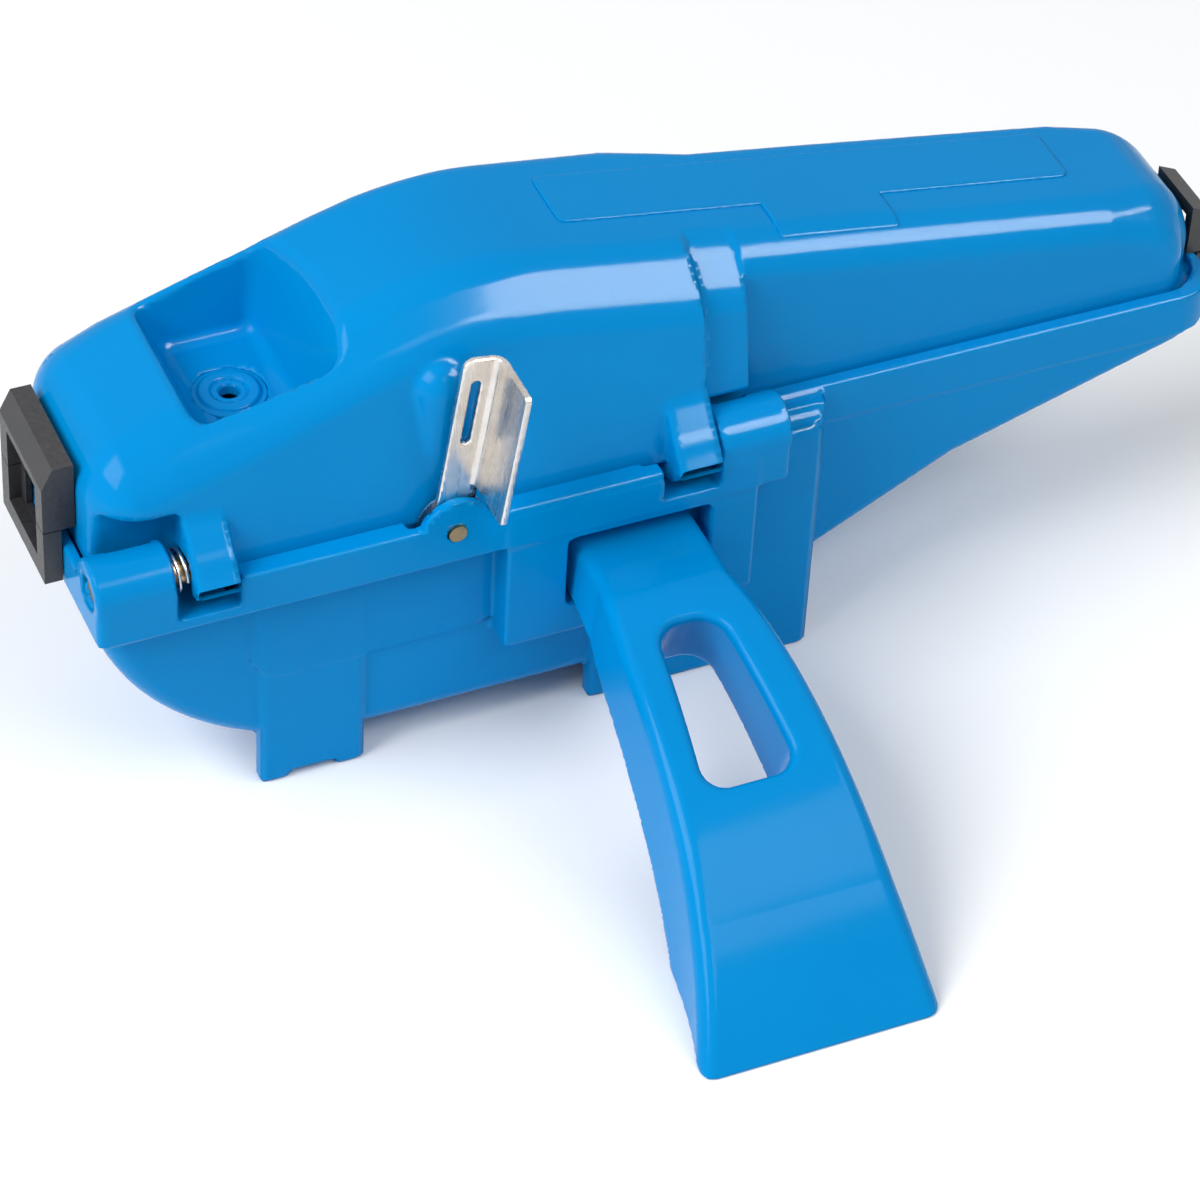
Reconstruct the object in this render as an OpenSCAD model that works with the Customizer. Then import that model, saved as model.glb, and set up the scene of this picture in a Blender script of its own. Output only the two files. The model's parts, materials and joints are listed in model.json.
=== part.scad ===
// Bench tool that scrubs a bicycle chain between turning brushes in a closed bath.
// The origin is on the bench, midway along the flange; +X runs with the chain to the outlet,
// -Y is the side of the handle, +Z is up.

/* [Flange] */
// Length of the flange from the inlet end to the outlet end
flange_len = 263; // [258:1:270]
// Half width of the flange beside the bath
flange_half = 34.9; // [34.5:0.1:38]
// Half width of the flange along the nose
nose_flange_half = 21; // [20:0.5:24]
// Height of the flange band
band_h = 10.6; // [10:0.2:13]
// Length of the wide part of the flange
wide_len = 153.1; // [152:0.5:156]
// Height of the parting plane above the bench
parting_z = 67; // [64:1:74]

/* [Bath] */
// Wall of the moulded shells
wall = 2.5; // [2:0.1:3]
// Half width of the bath
bath_half = 27.2; // [26.6:0.1:27.4]
// Depth of the bath below the parting plane
bath_depth = 59.5; // [56:0.5:62]
// Length of the deep part of the bath
bath_len = 165; // [163:0.5:168]
// Radius of the bath's bottom edges
bath_edge_r = 5; // [3:0.5:7]
// Depth of the nose where it leaves the bath
nose_root_depth = 47.5; // [44:0.5:50]
// Depth of the nose at its knee
nose_knee_depth = 30; // [28:0.5:34]
// Depth of the nose at its end
nose_tip_depth = 13.5; // [12.5:0.5:15]
// How far the side panels stand proud
panel_proud = 1; // [0.5:0.1:1.5]
// Width of the front and rear foot beside the inlet
left_foot_w = 23.3; // [20:0.1:26]
// Thickness of the foot plates
foot_t = 4; // [3:0.5:5]

/* [Cover] */
// Half width of the cover over the brushes
cover_half = 29.5; // [29:0.1:29.6]
// Half width of the cover along the nose
nose_half = 17.3; // [16.5:0.1:17.6]
// Inward lean of the side walls, in degrees
cover_lean = 10.8; // [8:0.2:12]
// Height of the hump's ridge before it is rounded
ridge_h = 48.8; // [47:0.2:52]
// Distance of the ridge from the inlet end
ridge_x = 83.2; // [80:0.2:86]
// Rise of the roof from the inlet to the ridge, in degrees
inlet_slope = 18; // [17:0.5:19]
// Fall of the roof from the ridge to the outlet, in degrees
outlet_slope = 9.3; // [8.5:0.1:9.8]
// Radius of the cover's shoulders over the brushes
shoulder_r = 12; // [9:0.5:13]
// Radius of the cover's shoulders along the nose
nose_shoulder_r = 4; // [3:0.5:6]
// Depth of the filler recess's floor above the parting plane
recess_floor = 18.5; // [17:0.5:20]
// Radius of the filler hole
filler_hole_r = 2.1; // [1.5:0.1:3]

/* [Handle] */
// Width of the handle's upper face at the socket
handle_root_w = 27; // [25:0.5:29]
// Width of the handle's upper face at its tip
handle_tip_w = 50; // [44:1:54]
// Radius of the handle's downward curve
handle_bend_r = 129.4; // [126:0.2:134]
// Thickness of the handle at the socket
handle_root_t = 14; // [12:0.5:15]
// Thickness of the handle at its thickest
handle_t = 20; // [18:0.5:22]
// Radius of the handle screws
handle_screw_r = 2; // [1.5:0.1:2.5]

/* [Catch and latch] */
// Radius of the catch barrels
barrel_r = 7; // [6.8:0.1:7.2]
// Radius of the catch pins
catch_pin_r = 3; // [2.6:0.1:3.2]
// Wire of the catch spring
spring_wire = 0.8; // [0.6:0.1:1]
// Thickness of the latch's sheet metal
latch_t = 1.5; // [1.2:0.1:1.6]
// Width of the latch's upright plate
latch_w = 9.1; // [8:0.1:10]
// Length of the latch above its rivet
latch_len = 43; // [40:0.5:46]
// Reach of the latch's thumb tab
tab_reach = 14; // [11:0.5:16]
// Lean of the latch at rest, in degrees
latch_lean = 8; // [6:0.5:10]
// Radius of the latch's rivet
rivet_r = 1.95; // [1.7:0.05:2.2]

/* [Rear hinge] */
// Radius of the hinge knuckles
knuckle_r = 5.5; // [5:0.1:5.8]
// Radius of the hinge pins
hinge_pin_r = 2; // [1.6:0.1:2.4]
// Width of the cover's knuckles
knuckle_w = 8; // [7:0.5:9]

/* [Brushes] */
// Outer radius of the lower brushes
lower_brush_r = 16.5; // [15:0.1:16.8]
// Outer radius of the upper brushes
upper_brush_r = 13; // [12:0.1:13.2]
// Length of the brushes along their axles
brush_len = 24; // [20:0.5:26]
// Radius of a brush's core
core_r = 7; // [6.5:0.1:7.5]
// Radius of the axles
axle_r = 2; // [1.5:0.1:2.2]
// Radius of the bearings
bearing_r = 3.5; // [3.2:0.1:4]
// Thickness of the frames' side plates
plate_t = 2.5; // [2:0.1:3]
// Radius of the magnet
magnet_r = 9; // [8:0.5:11]
// Thickness of the magnet
magnet_t = 4; // [3:0.5:5]

/* [Hidden] */

$fn = 48;

// Overrun of every cut beyond the face it opens
over = 1;
// Gap between parts that lie close but don't touch
gap = 0.3;
// Radial clearance of a pin in its bore
pin_clear = 0.05;
// Gap between a cover's foot and the flange around it
foot_gap = 0.4;

blue = [0, 0.57, 0.86];
steel = [0.78, 0.76, 0.73];
brass = [0.66, 0.45, 0.26];
black = [0.05, 0.05, 0.06];
foam = [0.16, 0.17, 0.19];
bristle = [0.92, 0.92, 0.88];
white = [0.85, 0.87, 0.88];

// Places along X are measured from the inlet end of the flange, heights from the parting plane
module place() {
    translate([-flange_len / 2, 0, parting_z]) children();
}

// A box between two corners
module block(low, high) {
    translate(low) cube(high - low);
}

// A cylinder along X between two places
module rod_x(x0, x1, r, y, z) {
    translate([x0, y, z]) rotate([0, 90, 0]) cylinder(r = r, h = x1 - x0);
}

// A cylinder along Y between two places
module rod_y(y0, y1, r, x, z) {
    translate([x, y1, z]) rotate([90, 0, 0]) cylinder(r = r, h = y1 - y0);
}

// The same on the front and on the rear
module both_sides() {
    children();
    mirror([0, 1, 0]) children();
}

// A closed mesh through rings of points, one ring for each station
module loft(rings) {
    n = len(rings[0]);
    last = len(rings) - 1;
    polyhedron(
        points = [for (ring = rings) each ring],
        faces = [
            [for (i = [0 : n - 1]) i],
            [for (i = [n - 1 : -1 : 0]) last * n + i],
            for (j = [0 : last - 1], i = [0 : n - 1])
                [j * n + i, (j + 1) * n + i, (j + 1) * n + (i + 1) % n],
            for (j = [0 : last - 1], i = [0 : n - 1])
                [j * n + i, (j + 1) * n + (i + 1) % n, j * n + (i + 1) % n]
        ]
    );
}

// How far a rounded end of radius r has drawn in at a distance d from the end
function drawn_in(d, r) = d >= r ? 0 : r - sqrt(max(0, r * r - (r - d) * (r - d)));

// Cover
cover_left = 3;
cover_right = flange_len - 2.8;
cover_foot = 2;
upper_frame = [62.5, 132.5];
plate_room = 3.5;
bulge_back = 17.1;
bulge_end = max(wide_len - bulge_back, upper_frame[1] + plate_room);
strip_end = bulge_end + 11;
strip_half = cover_half - 3;
step_run = 0.8;
rear_lean = 8;
nose_lean = 0.8;
rear_shoulder_r = 4;
cover_corner_r = 10;
inlet_brow_r = 9;
brow_stations = [20, 36, 50];
falling_station = 118;
outlet_brow_r = 13.5;
ridge_blend = 20;
shoulder_steps = 5;
rise = tan(inlet_slope);
fall = tan(outlet_slope);

function cover_line(x) = x < ridge_x - ridge_blend ? ridge_h - rise * (ridge_x - x)
    : x > ridge_x + ridge_blend ? ridge_h - fall * (x - ridge_x)
    : let (t = x - ridge_x + ridge_blend)
        ridge_h - rise * ridge_blend + rise * t - (rise + fall) * t * t / (4 * ridge_blend);
function by_part(x, bulge, strip, nose) = lookup(x, [
    [bulge_end, bulge], [bulge_end + step_run, strip],
    [strip_end, strip], [strip_end + step_run, nose]]);
function cover_half_at(x, t) = by_part(x + t, cover_half, strip_half, nose_half) - t
    - drawn_in(x - cover_left - t, cover_corner_r - t)
    - drawn_in(cover_right - t - x, cover_corner_r - t);
function cover_top_at(x, t) = cover_line(x) - t
    - drawn_in(x - cover_left - t, inlet_brow_r - t)
    - drawn_in(cover_right - t - x, outlet_brow_r - t);

// Half of a section of the cover, from the foot up to the roof
function cover_side(x, t, foot, wall_lean, wall_r) =
    let (
        w = cover_half_at(x, t),
        h = cover_top_at(x, t),
        a = by_part(x + t, wall_lean, wall_lean, nose_lean),
        r = min(by_part(x + t, wall_r, wall_r, nose_shoulder_r) - t / 2, 0.45 * h, 0.7 * w),
        c = w - (r + (h - r) * sin(a)) / cos(a)
    )
    [[w, -foot], [w, 0], for (k = [0 : shoulder_steps])
        let (q = a + (90 - a) * k / shoulder_steps) [c + r * cos(q), h - r + r * sin(q)]];
function cover_ring(x, t, foot) =
    let (
        rear = cover_side(x, t, foot, rear_lean, rear_shoulder_r),
        front = cover_side(x, t, foot, cover_lean, shoulder_r),
        n = len(front)
    )
    [for (p = rear) [x, p[0], p[1]], for (i = [n - 1 : -1 : 0]) [x, -front[i][0], front[i][1]]];

round_steps = 6;
function cover_stations(t) = [
    for (k = [0 : round_steps]) cover_left + t + (cover_corner_r - t) * (1 - cos(90 * k / round_steps)),
    each brow_stations,
    for (k = [0 : round_steps]) ridge_x - ridge_blend + 2 * ridge_blend * k / round_steps,
    falling_station, bulge_end - t, bulge_end - t + step_run, strip_end - t, strip_end - t + step_run,
    nose_knee_x, (nose_knee_x + cover_right) / 2,
    for (k = [round_steps : -1 : 0]) cover_right - t - (outlet_brow_r - t) * (1 - cos(90 * k / round_steps))];
module cover_loft(t, foot) {
    loft([for (x = cover_stations(t)) cover_ring(x, t, foot)]);
}

// Filler recess in the roof
recess_left = 31.5;
recess_right = 52;
recess_half = 17.4;
recess_left_flare = 0.46;
recess_right_flare = 0.34;
recess_front_flare = 0.06;
recess_rear_flare = 0.22;
recess_h = ridge_h - recess_floor;
filler_x = 40.6;
filler_ring_r = 6.5;
filler_ring_h = 0.8;

module recess_form(t) {
    h = recess_h + t;
    function corners(grow, z) = let (
            x0 = recess_left - t - recess_left_flare * grow,
            x1 = recess_right + t + recess_right_flare * grow,
            y0 = -recess_half - t - recess_front_flare * grow,
            y1 = recess_half + t + recess_rear_flare * grow
        ) [[x0, y0, z], [x1, y0, z], [x1, y1, z], [x0, y1, z]];
    polyhedron(
        points = [each corners(0, recess_floor - t), each corners(h, recess_floor - t + h)],
        faces = [[0, 1, 2, 3], [7, 6, 5, 4], [0, 4, 5, 1], [1, 5, 6, 2], [2, 6, 7, 3], [3, 7, 4, 0]]
    );
}

// Catch barrels, ears and pins along the front edge
catch_y = -(flange_half - barrel_r);
ear_r = barrel_r + 0.2;
left_barrel_end = 17;
right_barrel_w = 16.4;
ear_w = [9.3, 10];
spring_room = 3.7;
left_ear = [left_barrel_end + spring_room, left_barrel_end + spring_room + ear_w[0]];
right_ear = [wide_len - right_barrel_w - gap - ear_w[1], wide_len - right_barrel_w - gap];
right_barrel = [right_ear[1] + gap, wide_len];
left_notch = [left_barrel_end, left_ear[1] + 0.5];
right_notch = [right_ear[0] - 2.5, right_barrel[0]];
ear_end_wall = 2;
slot_half = catch_pin_r + gap;
slot_mouth_half = 5;
ear_web_top = 12;
ear_web_deg = 48;
notch_back = catch_y + 3.9;
notch_floor = barrel_r + 0.5;
barrel_pocket_y = catch_y + barrel_r + 0.5;
inlet_pocket_top = 13.4;
strip_pocket_top = 7.8;
pin_end_recess = 1.2;
pin_end_r = 3.9;

// Upright round-topped post behind the latch, half sunk in the leaning wall
post_x = 77.8;
post_r = 6.6;
post_top = 27.5;
post_low = 5;
post_front = cover_half - 1;

// Rear hinge
hinge_y = flange_half + 2.6;
hinge_z = 1;
hinge_lefts = [26, 106];
tub_knuckle_w = 7.7;
arm_low = 0.4;
function cover_knuckle(x) = x + tub_knuckle_w + gap;
hinge_w = 2 * (tub_knuckle_w + gap) + knuckle_w;

// Brushes: the lower pair hangs in the bath, the upper pair in the cover
brush_x = [62, 104, 82, 113];
brush_z = [-16.2, -16.2, 23, 23];
brush_r = [lower_brush_r, lower_brush_r, upper_brush_r, upper_brush_r];
plate_gap = 0.6;
plate_in = brush_len / 2 + plate_gap;
plate_out = plate_in + plate_t;
axle_head_r = 3;
axle_head_t = 1;
bearing_len = 6;
core_bore_clear = 0.02;

lower_bar = 4;
lower_frame = [38, 128];
lower_plate_low = -23;
lower_plate_high = -9;
lower_post_r = 3.5;
post_sides = 12;
lower_post_y = 9;
upper_plate_low = 17;
upper_plate_high = 30;
upper_bar = 5;
upper_post_y = 6;
frame_screw_r = 1.4;
screw_head_r = 2.8;
screw_head_h = 1.6;
screw_len = 9;

// Latch on its boss
latch_x = 77.45;
latch_z = -2.5;
boss_r = 8;
boss_t = 2.5;
latch_play = 0.1;
latch_front = -flange_half + boss_t + latch_play;
latch_back = latch_front + latch_t;
washer_r = 7.4;
washer_t = 0.4;
latch_pocket_half = 10;
rivet_head_r = 3;
rivet_head_t = 0.3;
tab_foot = 9.5;
latch_bend_r = 3;
latch_slot_w = 2;
latch_slot_len = 16;
latch_slot_from = 21.5;

module catch_ear(ear) {
    difference() {
        union() {
            rod_x(ear[0], ear[1], ear_r, catch_y, 0);
            translate([ear[0], 0, 0]) rotate([90, 0, 90]) linear_extrude(ear[1] - ear[0])
                polygon([
                    [catch_y - ear_r * sin(ear_web_deg), ear_r * cos(ear_web_deg)],
                    [-cover_half + ear_web_top * tan(cover_lean), ear_web_top],
                    [barrel_pocket_y, ear_web_top],
                    [barrel_pocket_y, -cover_foot],
                    [catch_y, -cover_foot]
                ]);
        }
        block([ear[0] - over, notch_back - gap, -ear_r - over],
            [ear[1] + over, catch_y + ear_r + over, -cover_foot]);
    }
}

// Slot that drops over a catch pin, flared towards its mouth
module catch_slot(x0, x1) {
    rod_x(x0, x1, slot_half, catch_y, 0);
    translate([x0, 0, 0]) rotate([90, 0, 90]) linear_extrude(x1 - x0)
        polygon([
            [catch_y - slot_half, 0], [catch_y + slot_half, 0],
            [catch_y + slot_mouth_half, -ear_r - over], [catch_y - slot_mouth_half, -ear_r - over]
        ]);
}

// Post holes and posts that hang from the roof carry the upper brush frame
module upper_posts() {
    for (x = [upper_frame[0] + upper_bar / 2, upper_frame[1] - upper_bar / 2], y = [-1, 1])
        translate([x, y * upper_post_y, upper_plate_high]) children();
}

module lower_posts() {
    for (x = [lower_frame[0] + lower_bar / 2, lower_frame[1] - lower_bar / 2], y = [-1, 1])
        translate([x, y * lower_post_y, 0]) children();
}

// Ribs that hold the wiper pads in the nose
pad_back = 37;
pad_len = 20;
pad_x = [flange_len - pad_back - pad_len, flange_len - pad_back];
pad_half = 12;
pad_low = [-8, 2.5];
pad_high = [7.5, 15];
rib_t = 2;

// Chain guides at both ends
guide_half = 13.4;
guide_open_half = 9;
guide_low = -9;
guide_split = 4.4;
guide_high = 21;
guide_front = -4.2;
guide_open = [-4.5, 14];
guide_web = 1.2;
throat_half = 6;
throat = [-4, 11];
guide_chamfer = 5;
outlet_half = 8;
outlet_open_half = 5.5;
outlet_high = 13;
outlet_low = -6;
outlet_out = 3.6;
outlet_open = [-2.5, 9.5];

module cover() color(blue) difference() {
    place() cover_body();
    cover_hollow();
    place() recess_cut();
    place() cover_cuts();
}

module cover_body() {
    cover_loft(0, cover_foot);
    post();
    catch_ear(left_ear);
    catch_ear(right_ear);
    for (x = hinge_lefts) {
        rod_x(cover_knuckle(x), cover_knuckle(x) + knuckle_w, knuckle_r, hinge_y, hinge_z);
        block([cover_knuckle(x), cover_half - wall / 2, arm_low],
            [cover_knuckle(x) + knuckle_w, hinge_y, hinge_z + knuckle_r]);
    }
}

module cover_cuts() {
    translate([filler_x, 0, 0]) cylinder(r = filler_hole_r, h = ridge_h);
    block([-over, -flange_half - over, -cover_foot - over],
        [left_ear[0], barrel_pocket_y, inlet_pocket_top]);
    block([right_ear[1] + 0.2, -flange_half - over, -cover_foot - over],
        [wide_len + over, barrel_pocket_y, strip_pocket_top]);
    catch_slot(left_ear[0] - over, left_ear[1] - ear_end_wall);
    catch_slot(right_ear[0] + ear_end_wall, right_ear[1] + over);
    for (x = hinge_lefts)
        rod_x(x, x + hinge_w, hinge_pin_r + pin_clear, hinge_y, hinge_z);
    block([0, -throat_half, -cover_foot - over], [cover_left + 2 * wall, throat_half, throat[1]]);
    block([cover_right - 3 * wall, -outlet_open_half, -cover_foot - over],
        [flange_len, outlet_open_half, outlet_open[1]]);
    upper_posts() translate([0, 0, -over]) cylinder(r = frame_screw_r, h = screw_len);
}

// The space inside the cover, with its linings, posts and ribs left standing
module cover_hollow() {
    difference() {
        place() cover_loft(wall, cover_foot + over);
        place() recess_form(wall);
        place() cover_linings();
    }
}

module cover_linings() {
    block([0, -flange_half, -cover_foot - 2 * over],
        [left_ear[1] + wall, barrel_pocket_y + wall, inlet_pocket_top + wall]);
    block([right_ear[0] - wall, -flange_half, -cover_foot - 2 * over],
        [strip_end + step_run, barrel_pocket_y + wall, ear_web_top + wall]);
    upper_posts() cylinder(r = lower_post_r, h = ridge_h, $fn = post_sides);
    for (x = [pad_x[0] - gap - rib_t, pad_x[1] + gap])
        block([x, -nose_half, pad_high[1] - wall], [x + rib_t, nose_half, ridge_h]);
}

module post() {
    translate([post_x, -post_front + post_r, post_low]) cylinder(r = post_r, h = post_top - post_low);
    translate([post_x, -post_front + post_r, post_top]) sphere(r = post_r);
}

// The hollow of the filler recess, with the ring round its hole left standing
module recess_cut() {
    difference() {
        recess_form(0);
        translate([filler_x, 0, recess_floor - over])
            cylinder(r = filler_ring_r, h = filler_ring_h + over);
    }
}

// Bath
bath_left_r = bath_depth + 0.5;
bath_left_start = 12;
nose_end_back = 11;
nose_end_x = flange_len - nose_end_back;
nose_knee_share = 0.388;
bath_step_run = 2;
nose_root_x = bath_len + bath_step_run;
nose_knee_x = nose_root_x + nose_knee_share * (nose_end_x - nose_root_x);
nose_line = 0.3;
edge_steps = 4;
lip_depth = 6;
lip_half = 14.5;
ledge = cover_foot + gap;

function bath_depth_at(x, t) = x < bath_left_r
    ? sqrt(max(0, (bath_depth - t) * (bath_depth - t) - (bath_left_r - x) * (bath_left_r - x)))
    : lookup(x + t, [[bath_len, bath_depth], [bath_len + bath_step_run, nose_root_depth],
        [nose_knee_x, nose_knee_depth], [nose_end_x, nose_tip_depth],
        [flange_len, nose_tip_depth - nose_tip_rise]]) - t;
function bath_half_at(x) = lookup(x, [[bath_len, bath_half],
    [bath_len + bath_step_run, nose_flange_half - nose_line], [nose_end_x, nose_flange_half - nose_line]])
    - drawn_in(flange_len - nose_line - x, cover_corner_r);
function bath_ring(x, t, top) =
    let (
        w = bath_half_at(x) - t,
        d = bath_depth_at(x, t),
        r = min(bath_edge_r - t / 2, 0.8 * (d + top), w / 2)
    )
    [
        [x, -w, top],
        for (k = [0 : edge_steps]) let (q = 90 * k / edge_steps) [x, -w + r - r * cos(q), -d + r - r * sin(q)],
        for (k = [edge_steps : -1 : 0]) let (q = 90 * k / edge_steps) [x, w - r + r * cos(q), -d + r - r * sin(q)],
        [x, w, top]
    ];
bath_start_x = bath_left_r - sqrt(bath_depth * bath_depth - bath_left_start * bath_left_start);
left_round_steps = 10;
function bath_round_x(k, t) = bath_left_r - (bath_left_r - bath_start_x - t) * cos(90 * k / left_round_steps);
nose_tip_rise = 5;
nose_tip_shares = [0.35, 0.65, 0.85, 0.97];
outer_top = -band_h / 2;
nose_hollow_x = bath_len - 2 * wall;
nose_hollow_end = nose_end_x - 2 * wall;

module bath_outer() {
    loft([
        for (k = [0 : left_round_steps]) bath_ring(bath_round_x(k, 0), 0, outer_top),
        bath_ring(bath_len, 0, outer_top),
        bath_ring(bath_len + bath_step_run, 0, outer_top),
        bath_ring(nose_knee_x, 0, outer_top),
        bath_ring(nose_end_x, 0, outer_top),
        for (s = nose_tip_shares) bath_ring(nose_end_x + s * (flange_len - nose_end_x), 0, outer_top)
    ]);
}

module bath_inner() {
    loft([
        for (k = [0 : left_round_steps]) bath_ring(bath_round_x(k, wall), wall, over),
        bath_ring(nose_hollow_x, wall, over)
    ]);
    loft([for (x = [nose_hollow_x - over, nose_knee_x - wall, nose_hollow_end]) bath_nose_ring(x)]);
    block([nose_hollow_x - over, -lip_half, -lip_depth - over], [nose_hollow_end, lip_half, over]);
}

function bath_nose_ring(x) =
    let (
        w = nose_flange_half - wall,
        d = lookup(x, [[nose_hollow_x - over, nose_root_depth - wall],
            [nose_knee_x - wall, nose_knee_depth - wall], [nose_end_x, nose_tip_depth - wall]])
    )
    [[x, -w, -lip_depth], [x, -w, -d], [x, w, -d], [x, w, -lip_depth]];

// The space inside the bath, with its linings, posts and ribs left standing
module bath_hollow() {
    difference() {
        bath_inner();
        for (notch = [left_notch, right_notch])
            block([notch[0] - lining, -flange_half, -band_h],
                [notch[1] + lining, notch_back + lining, -ledge]);
        lower_posts() translate([0, 0, -bath_depth])
            cylinder(r = lower_post_r, h = bath_depth + lower_plate_low);
        for (x = [pad_x[0] - gap - rib_t, pad_x[1] + gap])
            block([x, -nose_flange_half, -nose_knee_depth], [x + rib_t, nose_flange_half, -lip_depth - over]);
        both_sides() block([strip_end - over, lip_half, -lip_depth],
            [nose_hollow_x + over, bath_half, 2 * over]);
        block([pad_x[0] - gap - rib_t / 2, -nose_flange_half, pad_low[0] - rib_t],
            [pad_x[1] + gap + rib_t / 2, nose_flange_half, pad_low[0]]);
    }
}

// Outline of the flange, and of the rebate that takes the cover's foot
module rounded_nose(x1, half, r) {
    translate([wide_len / 2, -half]) square([x1 - r - wide_len / 2, 2 * half]);
    translate([wide_len / 2, -half + r]) square([x1 - wide_len / 2, 2 * (half - r)]);
    for (y = [-1, 1]) translate([x1 - r, y * (half - r)]) circle(r = r);
}

flange_rear_r = 16;

module flange_outline() {
    translate([0, -flange_half]) square([wide_len, 2 * flange_half - flange_rear_r]);
    translate([flange_rear_r, 0]) square([wide_len - flange_rear_r, flange_half]);
    translate([flange_rear_r, flange_half - flange_rear_r]) circle(r = flange_rear_r);
    rounded_nose(flange_len, nose_flange_half, cover_corner_r);
}

module rebate_outline() {
    w = cover_half + foot_gap;
    r = cover_corner_r;
    translate([cover_left - foot_gap + r, -w]) square([bulge_end + step_run + foot_gap - cover_left - r, 2 * w]);
    translate([cover_left - foot_gap, -w + r]) square([bulge_end - cover_left, 2 * (w - r)]);
    for (y = [-1, 1]) translate([cover_left - foot_gap + r, y * (w - r)]) circle(r = r);
    translate([bulge_end - over, -strip_half - foot_gap])
        square([strip_end - bulge_end + over + step_run + foot_gap, 2 * (strip_half + foot_gap)]);
    rounded_nose(cover_right + foot_gap, nose_half + foot_gap, cover_corner_r);
}

panel_x = [34.5, 92];
panel_h = 26;
panel_corner_r = 8;
box_x = [89, 146];
box_h = 28;
socket_x = [102.9, 135.1];
socket_z = [-30.6, -12.4];
socket_mid = (socket_x[0] + socket_x[1]) / 2;
left_foot_x = 37;
right_foot = [112, 164];
foot_notch = [7, 17];
foot_notch_h = 1.7;
lining = 2.5;

module foot(x0, x1) {
    difference() {
        block([x0, -bath_half - panel_proud, -parting_z], [x1, -bath_half - panel_proud + foot_t, -band_h]);
        block([x0 + foot_notch[0], -flange_half, -parting_z - over],
            [x0 + foot_notch[1], 0, -parting_z + foot_notch_h]);
    }
}

module side_panel() {
    y = -bath_half - panel_proud;
    z = -band_h - panel_h;
    block([panel_x[0] + panel_corner_r, y, z], [panel_x[1], y + foot_t, over - band_h]);
    block([panel_x[0], y, z + panel_corner_r], [panel_x[1], y + foot_t, over - band_h]);
    rod_y(y, y + foot_t, panel_corner_r, panel_x[0] + panel_corner_r, z + panel_corner_r);
}

module magnet_seat() {
    translate([(brush_x[0] + brush_x[1]) / 2, 0, -bath_depth + wall]) children();
}

module reservoir() place() color(blue) difference() {
    union() {
        difference() {
            translate([0, 0, -band_h]) linear_extrude(band_h) flange_outline();
            translate([0, 0, -ledge]) linear_extrude(ledge + over) rebate_outline();
        }
        bath_outer();
        both_sides() side_panel();
        both_sides() foot(left_foot_x, left_foot_x + left_foot_w);
        both_sides() foot(right_foot[0], right_foot[1]);
        block([(flange_len - rib_t) / 2, -bath_half, -parting_z],
            [(flange_len + rib_t) / 2, bath_half, -bath_depth + rib_t / 2]);
        block([box_x[0], -flange_half, -band_h - box_h], [box_x[1], -bath_half + over, -ledge]);
        rod_x(0, left_barrel_end, barrel_r, catch_y, 0);
        rod_x(right_barrel[0], right_barrel[1], barrel_r, catch_y, 0);
        for (x = hinge_lefts, at = [x, x + tub_knuckle_w + knuckle_w + 2 * gap])
            rod_x(at, at + tub_knuckle_w, knuckle_r, hinge_y, hinge_z);
        rod_y(-flange_half, -flange_half + boss_t, boss_r, latch_x, latch_z);
    }
    bath_hollow();
    for (notch = [left_notch, right_notch])
        block([notch[0], -flange_half - over, -notch_floor], [notch[1], notch_back, over]);
    rod_x(-over, left_barrel_end + over, catch_pin_r + pin_clear, catch_y, 0);
    rod_x(-over, pin_end_recess, pin_end_r, catch_y, 0);
    rod_x(right_barrel[0] - over, right_barrel[1] + over, catch_pin_r + pin_clear, catch_y, 0);
    rod_x(right_barrel[1] - pin_end_recess, right_barrel[1] + over, pin_end_r, catch_y, 0);
    for (x = hinge_lefts) {
        rod_x(x - over, x + hinge_w + over, hinge_pin_r + pin_clear, hinge_y, hinge_z);
        rod_x(x + tub_knuckle_w, x + hinge_w - tub_knuckle_w, knuckle_r + 2 * gap, hinge_y, hinge_z);
    }
    block([latch_x - latch_pocket_half, -flange_half + boss_t, -band_h - over],
        [latch_x + latch_pocket_half, -cover_half - foot_gap + over / 2, over]);
    rod_y(-flange_half - over, -bath_half - gap, rivet_r + pin_clear, latch_x, latch_z);
    block([socket_x[0], -flange_half - over, socket_z[0]], [socket_x[1], -bath_half - gap, socket_z[1]]);
    handle_screw_holes();
    block([-over, -throat_half, throat[0]], [2 * cover_left + wall, throat_half, over]);
    block([nose_hollow_end - over, -outlet_open_half, outlet_open[0]],
        [flange_len + over, outlet_open_half, over]);
    lower_posts() translate([0, 0, lower_plate_low - screw_len])
        cylinder(r = frame_screw_r, h = screw_len + over);
}

// Handle: a bar whose upper face is level to the crease and then follows an arc down to the bench
handle_top = -16.5;
handle_crease_y = -49.4;
handle_start_deg = 6.6;
handle_end_deg = 54;
handle_draft = 1.8;
handle_edge_r = 2.5;
handle_tip_r = 9;
handle_tenon_y = -bath_half - gap - gap;
handle_steps = 12;
finger_mid_z = -25;
finger_cut = 85;
finger_near = [-64.5, 7.5];
finger_far = [-92, 10.5];
finger_near_r = 6;
finger_far_r = 4.5;
finger_tilt = 20;

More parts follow.
